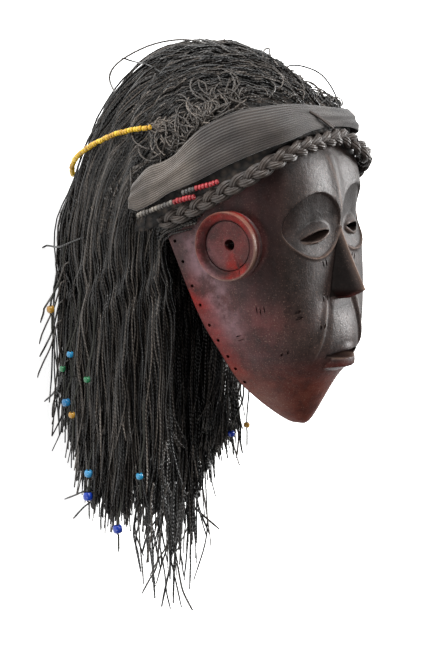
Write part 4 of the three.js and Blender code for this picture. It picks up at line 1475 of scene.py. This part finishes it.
def tie_paths(random):
    """Frayed ends of the cord that ties the yellow beads to the wig, spread from its last bead."""
    paths = []
    for _ in range(TIE["count"]):
        start, end = random_pixel(TIE["start"], random), random_pixel(TIE["end"], random)
        knots = on_sight_line(bowed(start, end, TIE, random), False) + TIE["over"] * unit(TO_CAMERA)
        paths.append(through(knots, FREE_STEPS))
    return np.array(paths)


def tail_paths(random):
    """Cords of the wig's thin tail, from the end of the longest lock to their own ends, bowed."""
    paths = []
    for k in range(TAIL["count"]):
        end = random_pixel(TAIL["end"], random)
        reach = 1 - abs(end[0] - TAIL["tip"][0]) / TAIL["half_wide"]
        end[1] = min(end[1], lerp(TAIL["end"][1][0], TAIL["tip"][1], reach))
        across = np.clip(end[0] + random.normal(0, TAIL["apart"]), *TAIL["start"][0])
        start = np.array([across, random.uniform(*TAIL["start"][1])])
        knots = on_sight_line(bowed(start, end, TAIL, random), k % 2 == 1)
        sunk = TAIL["under"] + random.normal(0, TAIL["scatter"])
        paths.append(through(knots - sunk * unit(TO_CAMERA), FREE_STEPS))
    return keep_off_floor(np.array(paths))


def net_cap(finish):
    """Knotted cap under the cords: a closed shell three millimetres thick, down to its hem."""
    rows, columns = 40, 96
    angle = round_angles(columns)
    degrees = np.degrees(angle)
    hem = follow_plait(wig_point, angle, CAP_OVER_PLAIT)
    behind = smooth(np.abs((degrees + 180) % 360 - 180), *CAP_BEHIND)
    t = np.linspace(0, 1, rows)[:, None]
    rise = np.sin(np.pi / 2 * t)
    skins = []
    for thick in (0.0, CAP_THICK):
        y = lerp(hem, CROWN_CENTRE_Y + CROWN_HIGH - CAP_DEEP - thick, rise)
        sinks = np.maximum(smooth(y - band_top(degrees), 0, 16), behind)
        deep = lerp(CAP_HIGH, CAP_DEEP, sinks) + 8.0 * smooth(rise, 0.25, 0.0) * behind
        axis = np.stack(np.broadcast_arrays(0.0, y, CAP_AXIS_Z), -1)
        skins.append(lerp(axis, wig_point(angle, y, -deep - thick), np.sqrt(1 - t**6)[..., None]))
    points = np.concatenate(skins).reshape(-1, 3)
    first = rows * columns
    around = np.arange(columns)
    after = np.roll(around, -1)
    faces = [
        ring_faces(rows, columns),
        ring_faces(rows, columns, first)[:, ::-1],
        np.stack([after, around, around + first, after + first], -1),
        np.arange(first - columns, first)[None, :],
        np.arange(2 * first - columns, 2 * first)[None, ::-1],
    ]
    return new_piece("knotted_cap", *outward(points, faces), finish, "fibre_cord")


def pieces_by_side(name, places, paths, finish, random):
    """Cords parted into pieces by where their middles lie, from the right side to the left."""
    middle = paths[:, paths.shape[1] // 2, 0]
    limits = np.quantile(middle, np.linspace(0, 1, len(places) + 1))
    limits[-1] += 1
    for k, place in enumerate(places):
        chosen = (middle >= limits[k]) & (middle < limits[k + 1])
        cord_piece(f"{name}_{place}", paths[chosen], finish, random)


def make_wig():
    """Cap, crown cords, curtain cords, curly roots, the tie's frayed cords, strays and the tail."""
    random = np.random.default_rng(7)
    finish = cord_finish()
    cap = net_cap(cap_finish())
    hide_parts("cord_wig")
    crown, hem, curly = (
        int(roots["count"] * (1.0)) for roots in (CROWN_ROOTS, HEM_ROOTS, CURLS)
    )
    off = CROWN_ROOTS["out"] - np.abs(random.normal(0, CROWN_ROOTS["scatter"], crown))
    roots = crown_roots(crown, random)
    paths = run_cords(roots, off, off - random.uniform(0, SINKS_BELOW, crown), random)
    paths = cut_to_length(paths, random, CROWN_ROOTS["points"])
    pieces_by_side("crown_cords", ("right", "middle", "left"), paths, finish, random)
    off = -random.uniform(*HEM_ROOTS["under"], hem)
    roots = hem_roots(hem, random)
    paths = run_cords(roots, off, off - random.uniform(0, SINKS_BELOW, hem), random)
    paths = cut_to_length(paths, random, HEM_ROOTS["points"])
    pieces_by_side("curtain_cords", ("right", "left"), paths, finish, random)
    cord_piece("curly_roots", curls(curly, random), finish, random, sides=4, radius=0.74, light=0.24)
    cord_piece("string_tie", tie_paths(random), finish, random, sides=4, radius=0.7, light=0.8)
    cord_piece("stray_cords", stray_paths(), finish, random, sides=6, radius=0.82)
    cord_piece("tail_cords", tail_paths(random), finish, random, sides=4, radius=0.85)


# Band, plait and beads


def make_band():
    """Cloth band: a thin closed strip over the cords, slightly crowned, with long soft folds."""
    steps, rows = 300, 22
    place = np.linspace(-BAND_END, BAND_END, steps)[:, None]
    lower, upper = np.moveaxis(values_at(BAND_STATIONS, place[:, 0]), -1, 0)[..., None]
    drawn = smooth(place, BAND_DRAWN_FROM, BAND_END)
    v = np.linspace(0, 1, rows)
    y = lerp(lower + BAND_DRAWN_IN[0] * drawn, upper - BAND_DRAWN_IN[1] * drawn, v)
    fold = sum(
        high * np.sin(v * waves + place / degrees + start) for high, waves, degrees, start in BAND_FOLDS
    )
    off = BAND_CLEAR + BAND_CROWN * (1 - (2 * v - 1) ** 2) + fold * np.sin(np.pi * v)
    inner = wig_point(np.radians(place), y, off)
    outer = wig_point(np.radians(place), y, off + BAND_THICK)
    points, faces = loft(np.concatenate([outer, inner[:, ::-1]], axis=1))
    along = length_along(outer[:, rows // 2])
    across = np.concatenate([v, v[::-1], v[:1]]) * length_along(outer[steps // 2])[-1]
    ends = np.zeros((sum(f.size for f in faces[1:]), 2))
    uv = np.concatenate([corner_uv(along[:, None], across), ends])
    band = new_piece("ribbed_band", points, faces, cloth_finish(), "headband_cloth", uv)
    turned = np.degrees(wig_angle(points_of(band)))
    give_values(band, "worn", smooth(turned, *BAND_WORN) * (turned < 180))
    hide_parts("cloth_headband")


def even_route(places, count):
    """Places along a route at even lengths, and the route's whole length."""
    length = length_along(places)
    at = np.linspace(0, length[-1], count)
    return np.stack([np.interp(at, length, axis) for axis in places.T], -1), length[-1]


def make_plait():
    """Three strands that weave across each other, each a bundle of seven fine cords."""
    angle = np.linspace(-PLAIT_ENDS, PLAIT_ENDS, 300)
    y = follow_plait(face_point, angle, 0, True)
    along = face_point(angle + 0.01, y) - face_point(angle - 0.01, y)
    out = unit(np.stack([-along[:, 2], np.zeros(len(y)), along[:, 0]], -1))
    middle = face_point(angle, y) + (PLAIT_THICK / 2 + PLAIT_CLEAR) * out
    line, length = even_route(middle, PLAIT_STEPS)
    share, new_share = np.linspace(0, 1, len(out)), np.linspace(0, 1, PLAIT_STEPS)
    normals = np.stack([np.interp(new_share, share, axis) for axis in out.T], -1)
    tangents = unit(np.gradient(line, axis=0))
    normals = square_to(normals, tangents)
    across = np.cross(tangents, normals)
    s = np.linspace(0, length, PLAIT_STEPS)
    slim = lerp(0.55, 1.0, smooth(np.minimum(s, length - s), 0, 16))
    strands, crest_highlight = [], []
    for strand in range(3):
        phase = 2 * np.pi * (s / PLAIT_PERIOD + strand / 3)
        heave = PLAIT_HEAVE * np.sin(2 * phase)
        middle = line + PLAIT_SWING * np.sin(phase)[:, None] * across + heave[:, None] * normals
        way = unit(np.gradient(middle, axis=0))
        aside = unit(np.cross(way, normals))
        for cord in range(PLAIT_CORDS["count"]):
            turn = 2 * np.pi * (cord / PLAIT_CORDS["count"] + s / PLAIT_CORDS["turn_length"])
            beside = (PLAIT_CORDS["aside"] * slim * np.cos(turn))[:, None] * aside
            over = (PLAIT_CORDS["over"] * slim * np.sin(turn))[:, None] * np.cross(aside, way)
            strands.append(middle + beside + over)
            # Painted highlight: lighter where the strand rises and on each cord's outer side
            crest_highlight.append(np.clip(0.2 + 0.6 * smooth(heave, -2.2, 2.2) + 0.3 * np.sin(turn), 0, 1))
    strands = np.array(strands)
    radii = np.broadcast_to(PLAIT_CORDS["radius"] * slim, strands.shape[:2])
    hint = np.broadcast_to(normals[0], (len(strands), 3))
    points, faces, uv = tubes(strands, radii, PLAIT_CORDS["sides"], hint)
    piece = new_piece("woven_plait", points, faces, plait_finish(), "fibre_plait", uv)
    give_values(piece, "crest_highlight", np.repeat(crest_highlight, PLAIT_CORDS["sides"]))
    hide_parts("forehead_plait")


def bead_skin(columns=10):
    """Points and faces of a bead of size 1 turned about x: a rounded barrel with a hole through it."""
    profile = np.array(BEAD_PROFILE)
    turn = round_angles(columns)
    ring = np.stack([np.zeros(columns), np.cos(turn), np.sin(turn)], -1)
    p = profile[:, None, :1] * ring + profile[:, None, 1:] * (1, 0, 0)
    return p.reshape(-1, 3), ring_faces(len(profile) + 1, columns) % (len(profile) * columns)


def bead_mesh(name, centres, ways, radii, halves, tones, finish, slot):
    """Many beads in one mesh, each turned so that its hole lies along the thread."""
    skin, faces = bead_skin()
    ways = unit(ways)
    other = unit(np.cross(ways, [0.31, 0.87, 0.38]))
    third = np.cross(ways, other)
    axes = np.stack([ways * halves[:, None], other * radii[:, None], third * radii[:, None]], 1)
    points = (skin[None] @ axes) + centres[:, None]
    index = (faces[None] + (np.arange(len(centres)) * len(skin))[:, None, None]).reshape(-1, 4)
    piece = new_piece(name, *outward(points.reshape(-1, 3), [index]), finish, slot)
    give_values(piece, "tone", np.repeat(tones, len(skin)))
    return piece


def string_places(route, seeds, random):
    """Bead centres and thread directions along a route over the wig, a bead's length apart."""
    angle, y = through(route, 200).T
    line = wig_point(np.radians(angle), y, SEED_OFF)
    centres, _ = even_route(line, int(length_along(line)[-1] / SEED_STEP) + 1)
    return centres + random.normal(0, seeds["scatter"], centres.shape), np.gradient(centres, axis=0)


def seed_beads(name, centres, ways, seeds, random, finish, slot):
    """Seed beads in one mesh, each of its own size and tone."""
    count = len(centres)
    return bead_mesh(
        name, centres, ways, random.uniform(*seeds["radius"], count),
        random.uniform(*seeds["half"], count), random.uniform(0, 1, count), finish, slot,
    )


def make_strings():
    """The yellow string, and the two temple strings with white beads before the red ones."""
    random = np.random.default_rng(11)
    yellow = bead_finish("yellow_glass", rgb(204, 168, 22), rgb(160, 118, 14))
    red = bead_finish("red_glass", rgb(150, 34, 40), rgb(104, 18, 22))
    white = bead_finish("white_glass", rgb(120, 113, 104), rgb(44, 42, 42))
    centres, ways = string_places(YELLOW_ROUTE, YELLOW_SEEDS, random)
    string = seed_beads("yellow_string", centres, ways, YELLOW_SEEDS, random, yellow, "yellow_glass")
    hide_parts("yellow_bead_string")
    for name, route, whites in (("lower", LOWER_TEMPLE_ROUTE, 0.68), ("upper", UPPER_TEMPLE_ROUTE, 0.42)):
        centres, ways = string_places(route, TEMPLE_SEEDS, random)
        split = int(len(centres) * whites)
        for part, finish, chosen in (("white", white, slice(split)), ("red", red, slice(split, None))):
            piece = seed_beads(
                f"temple_{name}_{part}", centres[chosen], ways[chosen], TEMPLE_SEEDS, random, finish,
                "red_glass",
            )
            if part == "red":
                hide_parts(f"temple_beads_{name}")


LOOSE_COLOURS = {
    "yellow_glass": (rgb(168, 128, 48), rgb(132, 92, 28)),
    "turquoise_glass": (rgb(28, 120, 160), rgb(16, 88, 132)),
    "green_glass": (rgb(34, 104, 66), rgb(20, 70, 46)),
    "pale_blue_glass": (rgb(60, 140, 180), rgb(40, 108, 156)),
    "cobalt_glass": (rgb(10, 48, 142), rgb(8, 28, 104)),
}


def make_loose_beads():
    """The single beads of the frame, each threaded on a cord of its own that hangs from the wig."""
    slots = {row["node"]: row["material_slot"] for row in frame["record"]["subparts"]}
    finishes = {}
    cords = []
    random = np.random.default_rng(5)
    for node in sorted(n for n in frame["nodes"] if n.startswith("hair_bead_")):
        low, high = (np.array(corner) / MILLIMETRE - NOSE_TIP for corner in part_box(node))
        centre, radius = (low + high) / 2, (high - low)[1] / 2
        slot = slots[node]
        if slot not in finishes:
            finishes[slot] = bead_finish(slot, *LOOSE_COLOURS[slot], rough=0.12)
        way = np.array([random.uniform(-0.15, 0.15), -1.0, random.uniform(-0.15, 0.15)])
        bead = bead_mesh(
            f"bead_{node[-2:]}", centre[None], way[None], np.array([radius * 1.05]),
            np.array([radius * 0.85]), np.array([random.uniform(0, 1)]), finishes[slot], slot,
        )
        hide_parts(node)
        t = np.linspace(-1, 1, FREE_STEPS)[:, None]
        path = centre + t * np.array([0, -1.0, 0]) * np.where(t < 0, *LOOSE_CORD)
        inside = settle(path, np.full(len(path), -3.0), 4)
        hold = np.clip(np.abs(t) * 2.2 - 0.12, 0, 1) * (t < 0) + 0.25 * (t > 0.2)
        cords.append(lerp(path, inside, smooth(hold, 0, 1)))
    cords = keep_off_floor(np.array(cords))
    finish = bpy.data.materials["fibre_cord"]
    cord_piece("bead_cords", cords, finish, random, sides=6, radius=0.8)


def make_thong():
    """Thin thong: two bent strips of hide, rounded, over the front of the band."""
    places = [wig_point(math.radians(angle), y, off) for angle, y, off in THONG_ROUTE]
    path, _ = even_route(np.array(places), 24)
    both = np.array([path, path + THONG_SPREAD * np.linspace(0, 1, 24)[:, None]])
    hint = np.array([[0, 0, 1.0]] * 2)
    points, faces, uv = tubes(both, np.full(both.shape[:2], THONG_RADIUS), 8, hint, 1.3)
    piece = new_piece("tied_thong", points, faces, thong_finish(), "thong", uv)
    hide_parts("band_thong")


# Studio


def stand(thing, axes, place):
    """Object turned so that it looks against the last of three axes, at a place in metres."""
    rows = np.eye(4)
    rows[:3, :3] = np.stack(axes, -1)
    rows[:3, 3] = place
    thing.matrix_world = Matrix(rows.tolist())


def make_camera():
    """Long lens along the photograph's line of sight, framing what the photograph frames."""
    axes = image_axes()
    back = axes[2]
    aim = in_image_plane(np.array(IMAGE_SIZE) / 2)
    middle = (aim + back * ((WIG_MIDDLE - aim) @ back) + NOSE_TIP) * MILLIMETRE
    data = bpy.data.cameras.new("camera")
    data.sensor_width = CAMERA_FILM
    data.lens = CAMERA_FILM * CAMERA_DISTANCE / (IMAGE_SIZE[1] * PIXEL * MILLIMETRE)
    data.clip_end = 8 * CAMERA_DISTANCE
    camera = linked("camera", data)
    stand(camera, axes, middle + back * CAMERA_DISTANCE)
    bpy.context.scene.camera = camera
    bpy.context.scene.view_settings.view_transform = "Standard"


def add_light(name, way, distance, power):
    """Square soft light that faces the mask from a direction."""
    data = bpy.data.lights.new(name, "AREA")
    data.size = LIGHT_SIZE
    data.energy = power
    back = unit(np.array(way))
    side = unit(np.cross([0.0, 1.0, 0.01], back))
    stand(linked(name, data), (side, np.cross(back, side), back), LIGHTS_AIM + back * distance)


def make_studio():
    """Pale floor under the mask, even pale surroundings and four soft lights."""
    finish = Finish(
        "pale_floor", Base_Color=(0.93, 0.93, 0.92, 1), Roughness=0.9, Specular_IOR_Level=0.2,
        Emission_Color=(1, 1, 1, 1), Emission_Strength=FLOOR_GLOW,
    )
    mesh = bpy.data.meshes.new("floor")
    corners = [(x * FLOOR_HALF, y * FLOOR_HALF, 0) for x, y in ((-1, -1), (1, -1), (1, 1), (-1, 1))]
    mesh.from_pydata(corners, [], [(0, 1, 2, 3)])
    mesh.materials.append(finish.material)
    floor = linked("floor", mesh)
    world = bpy.data.worlds.new("studio")
    bpy.context.scene.world = world
    world.use_nodes = True
    background = world.node_tree.nodes["Background"]
    background.inputs["Color"].default_value = (1, 1, 1, 1)
    background.inputs["Strength"].default_value = ROOM_GLOW
    for name, light in LIGHTS.items():
        add_light(name, *light)


make_camera()
make_wood()
make_wig()
make_band()
make_plait()
make_strings()
make_loose_beads()
make_thong()
make_studio()
